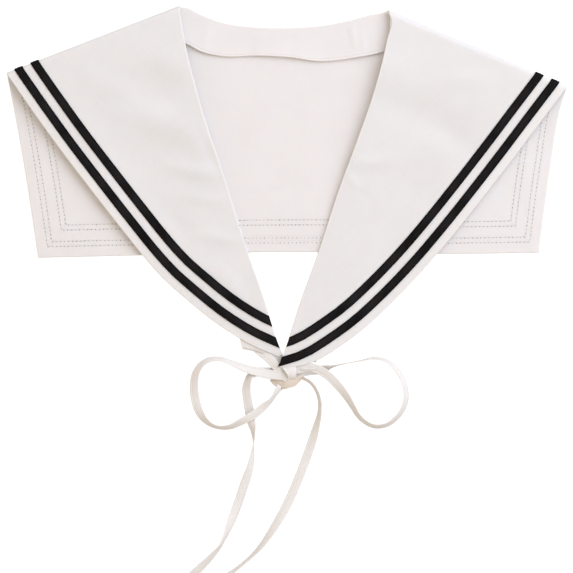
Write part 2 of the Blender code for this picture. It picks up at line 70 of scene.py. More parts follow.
def add_camera():
    data = bpy.data.cameras.new("camera")
    data.sensor_width = SENSOR
    data.lens = SENSOR * CAMERA_HEIGHT / PICTURE_WIDTH
    data.clip_end = SEEN_UP_TO
    camera = bpy.data.objects.new("camera", data)
    camera.location = [value * MM for value in CAMERA_PLACE]
    bpy.context.scene.collection.objects.link(camera)
    bpy.context.scene.camera = camera
    return camera


camera = add_camera()
print("lens:", round(camera.data.lens, 1), "mm")

# %% [markdown]
# ## The shape's own measures
#
# The outlines of the fronts, the back flap and the band are the same numbers as the solids have, so the
# fine cloth lies where the solid is. Its heights differ a little: the walls are thinner and settle by a
# millimetre, and the shoulder folds are roomier by one to three, because the soft shade in their corners
# asks for it. A Point is a place in plan, a Turn is a place on a tie's route, and a Swell is a long soft
# hill or, when its height is negative, a trough.

# %% Sizes of the cloth
CLOTH = 1.4  # the solid's wall, which sets how the layers are spaced
BAND_WIDTH = 26.0
TAPE_WIDTH = 6.4
TIE_WIDTH = 7.0
TIE = 1.0  # the solid's tie, which sets how high the ties lie
BORDER = 6.3  # from the cut edge to the outer tape
STRIPE_GAP = 6.1  # between the two tapes
REST_ON_BACK = 3.1  # thinner walls than the solid's let the layers settle by a millimetre
REST_LEFT_POINT = 2.4
REST_RIGHT_POINT = 4.6
HEM_LEVEL = -56.0  # above this a front lies on the flap
POINT_LEVEL = -128.0  # and below this it lies at the height of its point
FOLD_FADE = 82.0  # how far in from a shoulder fold the front loses most of its fullness
FOLD_HOLD = 25.0  # the swells of a front grow to their full height within this distance
BAND_IN = 1.2  # from the middle of the collar's wall to the middle of the band's
LAYER_AIR = 0.02  # a hair of air between two layers

Point = namedtuple("Point", "x y")
Turn = namedtuple("Turn", "x y lift tilt")
Swell = namedtuple("Swell", "x y along across turn height bend", defaults=(0.0,))
Fold = namedtuple("Fold", "peak corner radius_neck radius_corner neck_shift corner_shift point_height")
Front = namedtuple("Front", "fold neck edge swells")


def rows_of(kind, *rows):
    """Rows of plain numbers as a list of named ones."""
    return [kind(*row) for row in rows]


LEFT_FOLD = Fold(
    peak=Point(-80.2, 135.9),
    corner=Point(-210.2, 85.4),
    radius_neck=3.4,
    radius_corner=3.5,
    neck_shift=(-5.0, 1.5),
    corner_shift=(0.8, -0.7),
    point_height=REST_LEFT_POINT,
)
RIGHT_FOLD = Fold(
    peak=Point(76.2, 132.6),
    corner=Point(210.2, 75.6),
    radius_neck=4.3,
    radius_corner=3.0,
    neck_shift=(-5.0, 3.3),
    corner_shift=(0.8, -0.7),
    point_height=REST_RIGHT_POINT,
)

# %% Outlines of the two fronts, from the shoulder fold to the point
NECK_LEFT = rows_of(
    Point,
    (-79.5, 126.2), (-76.1, 107.0), (-61.2, 50.0), (-50.2, 17.0), (-27.3, -55.0), (-16.8, -85.0),
    (-10.1, -107.5), (-4.8, -122.5), (-3.0, -127.0),
)
EDGE_LEFT = rows_of(
    Point,
    (-191.2, 57.5), (-169.6, 27.5), (-146.7, -2.5), (-123.3, -32.5), (-105.0, -55.2), (-91.3, -70.3),
    (-74.6, -85.0), (-56.2, -100.0), (-27.7, -118.0), (-5.2, -128.0),
)
NECK_RIGHT = rows_of(
    Point,
    (77.4, 126.5), (74.5, 108.2), (65.0, 70.6), (52.5, 34.5), (38.7, -2.9), (21.0, -56.5),
    (10.5, -85.0), (3.4, -107.5), (-2.7, -125.8), (-6.9, -134.8),
)
EDGE_RIGHT = rows_of(
    Point,
    (191.0, 50.0), (168.4, 20.0), (145.2, -10.0), (121.2, -40.0), (102.0, -62.5), (88.0, -77.5),
    (73.0, -92.5), (56.4, -107.5), (36.4, -122.0), (24.4, -129.3), (15.8, -132.7), (7.5, -134.7),
    (-5.6, -135.8),
)
TAPE_GUIDE_RIGHT = EDGE_RIGHT[:-4] + rows_of(
    Point,
    (22.6, -130.9), (9.2, -137.0), (-2.6, -140.4), (-12.0, -142.8),
)  # the tapes run on straight, while the border below them is turned in under the knot

# %% Outlines of the back flap and of the band
NECK_BACK = rows_of(
    Point,
    (-66.5, 129.9), (-48.7, 123.1), (-21.0, 119.4), (2.3, 119.0), (24.8, 120.6), (51.0, 125.6),
    (60.4, 128.3),
)
SIDE_LEFT = [Point(-204.7, 57.8), Point(-195.5, 6.0), Point(-186.6, -53.4)]
HEM = rows_of(
    Point,
    (-186.6, -53.4), (-108.0, -51.5), (-29.4, -49.3), (24.8, -49.0), (115.4, -50.5), (189.0, -49.6),
)
SIDE_RIGHT = [Point(189.0, -49.6), Point(197.3, 12.5), Point(208.0, 68.0)]
NECK_AT_LEFT_CORNER = 0.22  # the share of the neck edge that the row to this corner starts from
NECK_AT_RIGHT_CORNER = 0.78
BAND_BACK_FREE = rows_of(
    Point,
    (-91.0, 113.5), (-75.7, 107.0), (-63.0, 100.6), (-48.8, 97.7), (-21.0, 98.0), (2.3, 96.7),
    (24.8, 93.8), (51.0, 96.5), (72.0, 100.9), (85.0, 106.5),
)
BAND_END_LEFT = (Point(-6.1, -132.4), Point(-33.4, -121.8))
BAND_END_RIGHT = (Point(0.2, -120.0), Point(21.5, -131.9))
BAND_TAPER = 16.0  # over this height the band's free edge draws in to its end

# %% [markdown]
# ## How the cloth rises and dips
#
# Laid cloth is never flat. The first two tables are the broad forms of the fronts, nearly as the solids
# have them: each front stands full at its shoulder fold and sinks towards its point. The other tables are
# creases from handling and storage. Each is placed at its own angle, length and depth, and bend
# curves it, because a pattern that repeats looks printed. The light comes from the upper right, so a
# crease that runs square to it, from the upper left to the lower right, shows most. Half a millimetre to
# one and a half is deep enough.

# %% Swells and creases
SWELLS_LEFT = [
    Swell(-136.0, -17.0, 62.0, 24.0, -52, 2.4),
    Swell(-59.0, 48.0, 58.0, 20.0, -72, 1.5),
    Swell(-106.0, 68.0, 34.0, 12.0, 15, -0.9),
    Swell(-108.0, 22.0, 34.0, 13.0, 20, -0.9),
    Swell(-66.0, -66.0, 30.0, 18.0, -38, 0.8),
]
SWELLS_RIGHT = [
    Swell(52.0, 44.0, 58.0, 22.0, 70, 3.6),
    Swell(126.0, -34.0, 52.0, 20.0, 51, 1.6),
    Swell(112.0, 50.0, 34.0, 12.0, -18, -0.9),
    Swell(86.0, 4.0, 30.0, 13.0, -24, -0.6),
]
CREASES_LEFT = [
    Swell(-89.0, 93.0, 30.0, 12.0, -20, 1.5, 0.06),
    Swell(-93.0, 49.0, 36.0, 12.0, -23, 2.0, -0.06),
    Swell(-69.0, 11.5, 22.0, 6.0, -9, 1.44, 0.08),
    Swell(-63.0, -9.5, 17.0, 5.0, -5, 0.85),
    Swell(-51.5, -38.0, 18.0, 5.0, -7, 0.85, -0.1),
    Swell(-58.0, 24.0, 20.0, 4.5, -66, -0.59),
    Swell(-140.0, 80.0, 28.0, 8.0, -30, 0.85, 0.12),
    Swell(-146.0, 38.0, 26.0, 8.0, -54, 0.85),
    Swell(-84.0, -26.0, 26.0, 7.0, -48, -0.68, 0.1),
    Swell(-44.0, -70.0, 20.0, 6.0, -50, 0.68),
]
CREASES_RIGHT = [
    Swell(137.0, 81.0, 30.0, 8.0, 10, 1.25, 0.06),
    Swell(94.0, 52.0, 36.0, 15.0, -24, -0.7, 0.05),
    Swell(76.0, 84.0, 34.0, 14.0, -22, 1.0, 0.06),
    Swell(65.0, 18.0, 16.0, 5.0, 4, 1.1, 0.08),
    Swell(128.0, 34.0, 24.0, 9.0, -34, -1.01),
    Swell(51.5, 1.0, 9.0, 3.0, -50, 0.76),
    Swell(57.0, -6.0, 9.0, 3.0, -46, -0.68),
    Swell(98.0, 92.0, 26.0, 9.0, 40, 0.85, -0.1),
    Swell(92.0, -14.0, 28.0, 8.0, 50, -0.68, 0.1),
    Swell(60.0, -52.0, 24.0, 6.0, 58, 0.68),
    Swell(36.0, -84.0, 20.0, 6.0, 62, 0.59),
]
CREASES_BACK = [
    Swell(183.5, -45.5, 6.5, 1.8, -40, 0.4),
    Swell(-181.3, -48.5, 6.5, 1.8, 42, 0.4),
    Swell(-20.0, 40.0, 52.0, 12.0, 78, 0.55, 0.08),
    Swell(16.0, 12.0, 44.0, 10.0, 96, 0.45, -0.1),
    Swell(-8.0, -14.0, 30.0, 8.0, 24, 0.35),
    Swell(-188.0, 10.0, 30.0, 6.0, 84, 0.4),
    Swell(-164.0, -34.0, 18.0, 6.0, -30, 0.35),
    Swell(180.0, 4.0, 26.0, 6.0, 98, 0.4),
    Swell(150.0, -34.0, 22.0, 6.0, 16, 0.35),
]
BAND_WRINKLES = [
    Swell(50.0, 113.0, 9.0, 2.4, 96, 0.83),
    Swell(57.0, 110.0, 9.0, 2.2, 88, 0.68),
    Swell(63.5, 114.0, 8.0, 2.2, 100, 0.6),
    Swell(-20.0, 109.0, 10.0, 5.0, 92, 0.45),
    Swell(-60.0, 113.0, 9.0, 3.0, 68, 0.6),
    Swell(12.0, 107.0, 10.0, 6.0, 84, 0.38),
]


def with_height(plan, height):
    """Points in plan with their heights."""
    return np.concatenate([plan, np.asarray(height)[..., None]], axis=-1)


def swell_height(swells, plan):
    """The swells' height together at each of these points in plan."""
    total = np.zeros(plan.shape[:-1])
    for swell in swells:
        turn = math.radians(swell.turn)
        x = plan[..., 0] - swell.x
        y = plan[..., 1] - swell.y
        along = (x * math.cos(turn) + y * math.sin(turn)) / swell.along
        over = (y * math.cos(turn) - x * math.sin(turn)) / swell.across
        over = over - swell.bend * along**2 * swell.along / swell.across
        total += swell.height * np.exp(-(along**2) - over**2)
    return total


LEFT = Front(LEFT_FOLD, NECK_LEFT, EDGE_LEFT, SWELLS_LEFT + CREASES_LEFT)
RIGHT = Front(RIGHT_FOLD, NECK_RIGHT, EDGE_RIGHT, SWELLS_RIGHT + CREASES_RIGHT)
print("creases:", len(CREASES_LEFT) + len(CREASES_RIGHT) + len(CREASES_BACK))

# %% [markdown]
# ## Curves through measured points
#
# An outline is a handful of measured points. Straight lines between them would show as corners, so each
# outline is a smooth curve that leaves every point in the direction of its neighbours. Blender's own
# Bezier curves could do this, but plain arithmetic on rows of points is easier to reuse for cloth, tape
# and stitches alike.

# %% Smooth curves, even steps and crossings
PARALLEL = 1e-9  # lines that span less area than this are taken as parallel
SHORTEST = 1e-12  # keeps a division by a length safe


def smooth(rows, count):
    """count + 1 points on one smooth curve through the rows, evenly spaced along it in plan."""
    rows = np.array([tuple(row) for row in rows], float)
    gaps = np.linalg.norm(np.diff(rows[:, :2], axis=0), axis=1)
    at = np.concatenate([[0.0], np.cumsum(gaps)])
    slopes = np.diff(rows, axis=0) / gaps[:, None]
    inner = (slopes[:-1] * gaps[1:, None] + slopes[1:] * gaps[:-1, None]) / (gaps[:-1] + gaps[1:])[:, None]
    tangents = np.vstack([slopes[:1], inner, slopes[-1:]])
    where = np.linspace(0.0, at[-1], count + 1)
    span = np.clip(np.searchsorted(at, where, side="right") - 1, 0, len(gaps) - 1)
    width = gaps[span][:, None]
    t = ((where - at[span]) / gaps[span])[:, None]
    start, end = rows[span], rows[span + 1]
    return (
        (2 * t**3 - 3 * t**2 + 1) * start
        + (t**3 - 2 * t**2 + t) * width * tangents[span]
        + (3 * t**2 - 2 * t**3) * end
        + (t**3 - t**2) * width * tangents[span + 1]
    )


def lengths_along(points):
    """How far along the line through points each of them is."""
    steps = np.linalg.norm(np.diff(points, axis=0), axis=1)
    return np.concatenate([[0.0], np.cumsum(steps)])


def at_lengths(points, at, where):
    """Points of the line at these lengths along it."""
    return np.stack([np.interp(where, at, points[:, k]) for k in range(points.shape[1])], axis=1)


def even(points, count):
    """The line through points as count + 1 points, evenly spaced in plan."""
    points = np.asarray(points, float)
    at = lengths_along(points[:, :2])
    return at_lengths(points, at, np.linspace(0.0, at[-1], count + 1))


def crossing(line, blade):
    """(place along line, point) where line first crosses blade, both lists of points in plan."""
    for i, (a, b) in enumerate(zip(line, line[1:])):
        for c, d in zip(blade, blade[1:]):
            run, cut = b - a, d - c
            area = run[0] * cut[1] - run[1] * cut[0]
            if abs(area) < PARALLEL:
                continue
            gap = c - a
            along = (gap[0] * cut[1] - gap[1] * cut[0]) / area
            on_blade = (gap[0] * run[1] - gap[1] * run[0]) / area
            if 0.0 <= along <= 1.0 and 0.0 <= on_blade <= 1.0:
                return i, a + along * run
    raise ValueError("the lines do not cross")


def smoothstep(t):
    t = np.clip(t, 0.0, 1.0)
    return t * t * (3.0 - 2.0 * t)


def unit(vectors):
    lengths = np.linalg.norm(vectors, axis=-1, keepdims=True)
    return vectors / np.maximum(lengths, SHORTEST)


# %% [markdown]
# ## The shoulder folds
#
# At each shoulder the cloth turns over softly. A pressed crease would look sharp and dark, but this one
# is a rolled turn, eight to ten millimetres high at the neck and seven to eight at the corner. That is
# half a cone: its wall turns about an axis from -90 degrees, on the back flap, to 90 degrees, on the
# front. The front then comes down slowly to the flap, as stiff cloth does.

# %% Points on a shoulder fold and on a front


def fold_axes(fold):
    """(length, direction from the peak to the corner, outward normal) in plan."""
    peak, corner = np.array(fold.peak), np.array(fold.corner)
    length = np.linalg.norm(corner - peak)
    along = (corner - peak) / length
    outward = np.array([-along[1], along[0]])
    return length, along, outward if outward[1] > 0 else -outward


def fold_radius(fold, place):
    length = fold_axes(fold)[0]
    share = np.clip(place / length, 0.0, 1.0)
    return fold.radius_neck + (fold.radius_corner - fold.radius_neck) * share


def fold_point(fold, place, angle, out=0.0):
    """Points out of the fold's middle surface: angle is -90 on the back and 90 on the front."""
    _, along, outward = fold_axes(fold)
    radius = fold_radius(fold, place)
    turn = np.radians(angle)
    across_plan = (radius + out) * np.cos(turn) - radius - CLOTH / 2
    plan = np.array(fold.peak) + np.multiply.outer(place, along) + np.multiply.outer(across_plan, outward)
    return with_height(plan, CLOTH / 2 + radius + (radius + out) * np.sin(turn))


def fold_shift(shifts, angle):
    """How far an edge has moved along the fold at this angle: nothing at the crease."""
    back, front = shifts
    share = angle / 90.0
    return front * share**2 if share > 0 else back * share**2


def fold_ends(fold, angle):
    """Places along the fold of the neck edge and of the cut edge at this angle."""
    length = fold_axes(fold)[0]
    return fold_shift(fold.neck_shift, angle), length + fold_shift(fold.corner_shift, angle)


def fold_offset(fold, plan):
    """(place along the fold, distance in from where the front leaves it) of points in plan."""
    _, along, outward = fold_axes(fold)
    offset = plan - np.array(fold.peak)
    place = offset @ along
    inside = -(offset @ outward) - fold_radius(fold, place) - CLOTH / 2
    return place, np.maximum(inside, 0.0)


# %% Height and edges of a front
LEAST_ON_BACK = 1.75  # where a dip would bring the front's middle into the flap, it levels out here
LEAST_SOFTNESS = 0.5


def front_height(front, plan):
    """Height of the middle of a front's wall: full at the shoulder fold, then lying on what is under it."""
    place, inside = fold_offset(front.fold, plan)
    radius = fold_radius(front.fold, place)
    over_back = smoothstep((plan[..., 1] - POINT_LEVEL) / (HEM_LEVEL - POINT_LEVEL))
    at_point = front.fold.point_height
    rest = at_point + (REST_ON_BACK - at_point) * over_back
    full = CLOTH / 2 + 2 * radius
    fullness = (full - rest) * np.exp(-((inside / FOLD_FADE) ** 2))
    height = rest + fullness + swell_height(front.swells, plan) * smoothstep(inside / FOLD_HOLD)
    spare = height - LEAST_ON_BACK * over_back
    return height - spare / 2 + np.sqrt(spare**2 + LEAST_SOFTNESS**2) / 2


def on_front(front, plan, out=0.0):
    return with_height(plan, front_height(front, plan) + out)


def in_plan(fold, place, angle):
    """A point of a shoulder fold in plan."""
    return Point(*fold_point(fold, place, angle)[:2])


def front_edges(front, steps):
    """The neck edge and the cut edge of a front in plan, from the fold to the point."""
    at_neck, at_corner = fold_ends(front.fold, 90)
    neck_start = in_plan(front.fold, at_neck, 90)
    edge_start = in_plan(front.fold, at_corner, 90)
    return smooth([neck_start, *front.neck], steps), smooth([edge_start, *front.edge], steps)


for fold_name, fold in (("left", LEFT_FOLD), ("right", RIGHT_FOLD)):
    print(fold_name, "shoulder fold:", round(fold_axes(fold)[0], 1), "mm")


# %% [markdown]
# ## One builder for every wall of cloth
#
# Blender's Solidify would thicken an open sheet with square rims. Turned cloth and folded tape have round
# rims, so this builder makes the closed wall itself: along each row it goes over the face side, round the
# far rim, back along the wrong side and round the near rim. Every vertex also keeps two flat addresses as
# UV maps. "cloth" is its place on the flat cut, in millimetres, which carries the weave, and "border" is how
# far it is along and in from the edge, which carries the puckers of the sewing.

# %% A closed wall of cloth with round rims
RIM_ANGLES = (45.0, 0.0, -45.0)
MOST_DRAWN_IN = 0.3  # of a row's length, at each end


def wall_normals(middle):
    """Unit normals of a grid of points."""
    down = np.gradient(middle, axis=0)
    across_it = np.gradient(middle, axis=1)
    return unit(np.cross(down, across_it))


def drawn_in(grids, half):
    """The rows of each grid drawn in at both ends by half a wall, so that the rims end at the true edge."""
    middle = grids[0]
    drawn = [grid.copy() for grid in grids]
    for row in range(len(middle)):
        at = lengths_along(middle[row])
        inset = min(float(half[row].max()), MOST_DRAWN_IN * at[-1])
        where = inset + at * (1.0 - 2.0 * inset / at[-1])
        for grid, target in zip(grids, drawn):
            target[row] = at_lengths(grid[row], at, where)
    return drawn


def around(first, face, last, back):
    """One closed loop a row: the face side, the far rim, the wrong side and the near rim."""
    return np.concatenate([face, last, back[:, ::-1], first], axis=1)


def cloth_wall(name, middle, wall, cloth, border=None):
    """A closed wall of cloth round a grid of middle points in millimetres."""
    rows, columns = middle.shape[:2]
    half = np.broadcast_to(np.asarray(wall, float) / 2, (rows, columns))[..., None]
    border = cloth if border is None else border
    centre, cloth, border = drawn_in((middle, cloth, border), half)
    facing = wall_normals(centre)
    out_first = unit(centre[:, 0] - centre[:, 1])
    out_last = unit(centre[:, -1] - centre[:, -2])

    def rim(column, out, angles):
        turns = [math.radians(angle) for angle in angles]
        return np.stack(
            [
                centre[:, column]
                + half[:, column] * (out * math.cos(turn) + facing[:, column] * math.sin(turn))
                for turn in turns
            ],
            axis=1,
        )

    ring = around(
        rim(0, out_first, RIM_ANGLES[::-1]),
        centre + facing * half,
        rim(-1, out_last, RIM_ANGLES),
        centre - facing * half,
    )
    faces = ring_faces(rows, columns, len(RIM_ANGLES))
    maps = {"cloth": cloth, "border": border}
    flat = {key: around_flat(value, len(RIM_ANGLES)) for key, value in maps.items()}
    return make_mesh(name, ring.reshape(-1, 3) * MM, faces, flat)


# %% Flat addresses and faces of a wall


def around_flat(flat, rims):
    """The flat addresses of the points of each loop, in the loop's order."""
    first = np.repeat(flat[:, :1], rims, axis=1)
    last = np.repeat(flat[:, -1:], rims, axis=1)
    return around(first, flat, last, flat).reshape(-1, 2)


def ring_faces(rows, columns, rims):
    """Quads between the loops, and a cap on the first and the last one."""
    size = 2 * (columns + rims)
    start = np.arange(rows - 1)[:, None] * size
    here = np.arange(size)[None, :]
    after = (here + 1) % size
    sides = np.stack([start + here, start + after, start + size + after, start + size + here], axis=-1)
    faces = sides.reshape(-1, 4).tolist()
    for row, turned in ((0, True), (rows - 1, False)):
        base = row * size
        face_side = [base + j for j in range(columns)]
        wrong_side = [base + 2 * columns + rims - 1 - j for j in range(columns)]
        cap = [
            [face_side[j], face_side[j + 1], wrong_side[j + 1], wrong_side[j]] for j in range(columns - 1)
        ]
        far_rim = [base + columns + k for k in range(rims)]
        near_rim = [base + 2 * columns + rims + k for k in range(rims)]
        cap.append([face_side[-1], *far_rim, wrong_side[-1]])
        cap.append([wrong_side[0], *near_rim, face_side[0]])
        faces += [corners[::-1] for corners in cap] if turned else cap
    return faces


# %% From points and faces to a mesh


def make_mesh(name, points, faces, flat):
    mesh = bpy.data.meshes.new(name)
    mesh.from_pydata(points.tolist(), [], faces)
    corners = np.empty(len(mesh.loops), np.int32)
    mesh.loops.foreach_get("vertex_index", corners)
    for key, values in flat.items():
        layer = mesh.uv_layers.new(name=key)
        layer.data.foreach_set("uv", values[corners].astype(np.float32).ravel())
    mesh.shade_smooth()
    return turn_outwards(mesh)


def turn_outwards(mesh):
    """Turns the faces round where the mesh is inside out."""
    count = len(mesh.polygons)
    centres = np.empty(count * 3)
    normals = np.empty(count * 3)
    areas = np.empty(count)
    mesh.polygons.foreach_get("center", centres)
    mesh.polygons.foreach_get("normal", normals)
    mesh.polygons.foreach_get("area", areas)
    volume = (centres.reshape(-1, 3) * normals.reshape(-1, 3)).sum(axis=1) @ areas / 3
    if volume < 0:
        mesh.flip_normals()
    return mesh


# %% Put a mesh into the scene
piece_group = bpy.data.collections.new("sailor_collar_dressed")
bpy.context.scene.collection.children.link(piece_group)


def add_piece(name, mesh, replaced=()):
    """Links a piece, lets it ride on the collar's one body and hides the solids that it stands for."""
    piece = bpy.data.objects.new(name, mesh)
    piece_group.objects.link(piece)
    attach(piece, "root")
    if replaced:
        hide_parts(*replaced)
    mesh.calc_loop_triangles()
    print(name, len(mesh.loop_triangles), "triangles")
    return piece


# %% [markdown]
# ## The collar
#
# The collar is one shape: back flap and both fronts are cut in one, with a neck hole. So the mesh is one
# sheet as well. Its rows start at the left front's point, run up the front, round the shoulder fold,
# fan round the back flap's side, hem and other side, and go over the right shoulder down to the other
# point. Each row goes from the neck edge to the cut edge, and its points crowd near both edges, where
# the cloth turns.

# %% Rows of the collar
COLLAR_WALL = 1.0
FRONT_ROWS = 132
FOLD_ROWS = 14
SIDE_ROWS = 44
HEM_ROWS = 150
COLLAR_COLUMNS = 66
EDGE_CROWDING = 0.7
GUIDE_STEPS = 26


def crowded(count, crowding):
    """count + 1 shares from 0 to 1, closer together near both ends."""
    share = np.linspace(0.0, 1.0, count + 1)
    return share - crowding * np.sin(2 * np.pi * share) / (2 * np.pi)


ACROSS = crowded(COLLAR_COLUMNS, EDGE_CROWDING)


def rows_between(starts, ends, shares):
    """A grid of points on straight rows from starts to ends."""
    return starts[:, None] + (ends - starts)[:, None] * shares[None, :, None]


def strip_address(across_it, along):
    """The flat addresses of a straight strip: across its width, and along it."""
    return np.stack(np.broadcast_arrays(across_it[None, :], along[:, None]), axis=-1)


# %% Rows of a front and of a shoulder fold


def flat_front(fold, plan):
    """Where points of a front lie on the flat cut, once it is folded back up."""
    _, along, outward = fold_axes(fold)
    place, inside = fold_offset(fold, plan)
    radius = fold_radius(fold, place)
    unrolled = math.pi * radius + inside - radius - CLOTH / 2
    return np.array(fold.peak) + place[..., None] * along + unrolled[..., None] * outward


def flat_fold(fold, places, angle):
    """The same for points of a shoulder fold at this angle."""
    _, along, outward = fold_axes(fold)
    radius = fold_radius(fold, places)
    unrolled = radius * math.radians(angle + 90) - radius - CLOTH / 2
    return np.array(fold.peak) + places[..., None] * along + unrolled[..., None] * outward


def from_line(plan, line):
    """(distance along the line, distance from it) of points in plan."""
    at = lengths_along(line)
    start, step = line[:-1], np.diff(line, axis=0)
    flat = plan.reshape(-1, 2)
    best = np.full(len(flat), np.inf)
    along = np.zeros(len(flat))
    for i, (a, run) in enumerate(zip(start, step)):
        share = np.clip(((flat - a) @ run) / (run @ run), 0.0, 1.0)
        gap = np.linalg.norm(flat - a - share[:, None] * run, axis=1)
        nearer = gap < best
        best[nearer] = gap[nearer]
        along[nearer] = at[i] + share[nearer] * (at[i + 1] - at[i])
    return np.stack([along, best], axis=1).reshape(plan.shape)


def front_grid(front):
    """(middle, cloth, border) of a front, from the fold to the point."""
    neck_line, edge_line = front_edges(front, FRONT_ROWS)
    plan = rows_between(neck_line, edge_line, ACROSS)
    return on_front(front, plan), flat_front(front.fold, plan), from_line(plan, edge_line)


def fold_grid(fold):
    """The same for the turn of a shoulder, from the front to the back."""
    middle, cloth, border = [], [], []
    for step in range(1, FOLD_ROWS):
        angle = 90 - 180 * step / FOLD_ROWS
        at_neck, at_corner = fold_ends(fold, angle)
        places = at_neck + (at_corner - at_neck) * ACROSS
        middle.append(fold_point(fold, places, angle))
        cloth.append(flat_fold(fold, places, angle))
        border.append(np.stack([np.full_like(places, -step), at_corner - places], axis=1))
    return np.array(middle), np.array(cloth), np.array(border)


# %% Rows of the back flap
AT_NECK, AT_CORNER = 0, 1


def back_ends(end, inset=0.0):
    """Where an edge leaves the left and the right fold on the back, in plan."""
    return [in_plan(fold, fold_ends(fold, -90)[end] + inset, -90) for fold in (LEFT_FOLD, RIGHT_FOLD)]


def back_neck():
    """The back's neck edge in plan, from the left fold to the right one."""
    left, right = back_ends(AT_NECK)
    return [left, *NECK_BACK, right]


def back_edges():
    """The flap's left side, hem and right side in plan."""
    left, right = back_ends(AT_CORNER)
    return (
        smooth([left, *SIDE_LEFT], SIDE_ROWS),
        smooth(HEM, HEM_ROWS),
        smooth([*SIDE_RIGHT, right], SIDE_ROWS),
    )


FREE_FROM = 30.0  # the flap's ridges start this far from its neck edge, clear of the band


def back_height(plan):
    """The flap's middle: on the table, apart from soft ridges where nothing lies on it."""
    inside = from_line(plan, smooth(back_neck(), GUIDE_STEPS))[..., 1]
    return CLOTH / 2 + swell_height(CREASES_BACK, plan) * smoothstep((inside - FREE_FROM) / FREE_FROM)


def back_grid():
    """The same for the back flap, from the left fold to the right one."""
    left, hem, right = back_edges()
    edge = np.vstack([left, hem[1:], right[1:]])
    shares = np.interp(
        np.arange(len(edge)),
        [0, SIDE_ROWS, SIDE_ROWS + HEM_ROWS, len(edge) - 1],
        [0.0, NECK_AT_LEFT_CORNER, NECK_AT_RIGHT_CORNER, 1.0],
    )
    fine = smooth(back_neck(), HEM_ROWS)
    neck = at_lengths(fine, np.linspace(0.0, 1.0, len(fine)), shares)
    plan = rows_between(neck, edge, ACROSS)
    return with_height(plan, back_height(plan)), plan, from_line(plan, edge)


# %% Join the rows to one sheet
left_front = front_grid(LEFT)
right_front = front_grid(RIGHT)
left_turn = fold_grid(LEFT_FOLD)
right_turn = fold_grid(RIGHT_FOLD)
back = back_grid()
collar_grids = [
    np.concatenate([
        left_front[k][::-1],
        left_turn[k],
        back[k],
        right_turn[k][::-1],
        right_front[k],
    ])
    for k in range(3)
]
print("collar grid:", collar_grids[0].shape)

# %% Make the collar
END_TAPER = (0.45, 0.85)  # shares of the wall in the first two rows, and in the last two


def tapered(rows, wall):
    """The wall's thickness a row: thinner at the two ends, where the cloth is turned."""
    thick = np.full(rows, wall)
    thick[: len(END_TAPER)] *= END_TAPER
    thick[-len(END_TAPER) :] *= END_TAPER[::-1]
    return thick[:, None]


collar_mesh = cloth_wall(
    "collar",
    collar_grids[0],
    tapered(len(collar_grids[0]), COLLAR_WALL),
    collar_grids[1],
    collar_grids[2],
)
collar = add_piece("collar", collar_mesh, ["collar_body"])

# %% [markdown]
# ## The neck band
#
# The band is a straight strip of the same cotton, sewn to the neck edge and turned to the inside. On the
# laid collar it lies on the back flap and shows along the neck. Under the fronts it is hidden, down to
# its two ends below the points. Its free edge isn't sewn down, so it lifts and waves a little, and a few
# short wrinkles run across it where it is eased round the neck.

# %% Rows of the band
BAND_WALL = 1.0
BAND_ROWS_FRONT = 120
BAND_ROWS_FOLD = 14
BAND_ROWS_BACK = 150
BAND_COLUMNS = 16
BAND_CROWDING = 0.6
BAND_WAVE = 1.0  # the height of the free edge's waves, beyond its lift
BAND_LIFT = 0.8  # how far the free edge stands up from the flap along its whole run
BAND_WAVES = 3
BAND_SEAM = 0.35  # its wrinkles die out towards the seam within this share of its width
BAND_LEAVES_AT = 3  # the guide row where the band has left the shoulder fold
BAND_END_BOW = (1.4, 1.5)  # how far the middle of the left end is pulled up by the tie
BAND_BOW_ROWS = 14
BAND_ON_BACK = CLOTH / 2 + (COLLAR_WALL + BAND_WALL) / 2 + LAYER_AIR
BAND_ACROSS = crowded(BAND_COLUMNS, BAND_CROWDING)


def inward_normals(line, towards):
    """A unit vector square to the line at each of its points, on the side that towards points to."""
    runs = unit(np.gradient(line, axis=0))
    normals = np.stack([-runs[:, 1], runs[:, 0]], axis=1)
    return normals * np.sign(normals[0] @ towards)


# %% The band under a front, in a fold and on the back


def band_under_front(front, end, bow=(0.0, 0.0)):
    """The band's middle under a front, from the shoulder fold to its end below the point."""
    line, edge_line = front_edges(front, GUIDE_STEPS)
    inward = inward_normals(line, edge_line[0] - line[0])
    start = in_plan(front.fold, fold_ends(front.fold, 90)[0] + BAND_WIDTH, 90)
    reach = [
        Point(*(line[i] + inward[i] * BAND_WIDTH))
        for i in range(BAND_LEAVES_AT, len(line))
        if line[i][1] > end[0].y + BAND_TAPER
    ]
    free = smooth([start, *reach, end[1]], BAND_ROWS_FRONT)
    kept = [point for point in line if point[1] > end[0].y]
    neck_line = even(kept + [end[0]], BAND_ROWS_FRONT)
    plan = rows_between(neck_line, free, BAND_ACROSS)
    near_end = smoothstep((np.arange(len(plan)) - len(plan) + 1 + BAND_BOW_ROWS) / BAND_BOW_ROWS)
    bowed = 4.0 * BAND_ACROSS * (1.0 - BAND_ACROSS)
    plan = plan + near_end[:, None, None] * bowed[None, :, None] * np.array(bow)
    middle = on_front(front, plan, -BAND_IN)
    lowest = np.where(plan[..., 1] > HEM_LEVEL, BAND_ON_BACK, 0.0)
    middle[..., 2] = np.maximum(middle[..., 2], lowest)
    return middle


def band_in_fold(fold):
    """The band's middle round a shoulder fold, from the front to the back."""
    rows = []
    for step in range(1, BAND_ROWS_FOLD):
        angle = 90 - 180 * step / BAND_ROWS_FOLD
        places = fold_ends(fold, angle)[0] + BAND_WIDTH * BAND_ACROSS
        rows.append(fold_point(fold, places, angle, -BAND_IN))
    return np.array(rows)


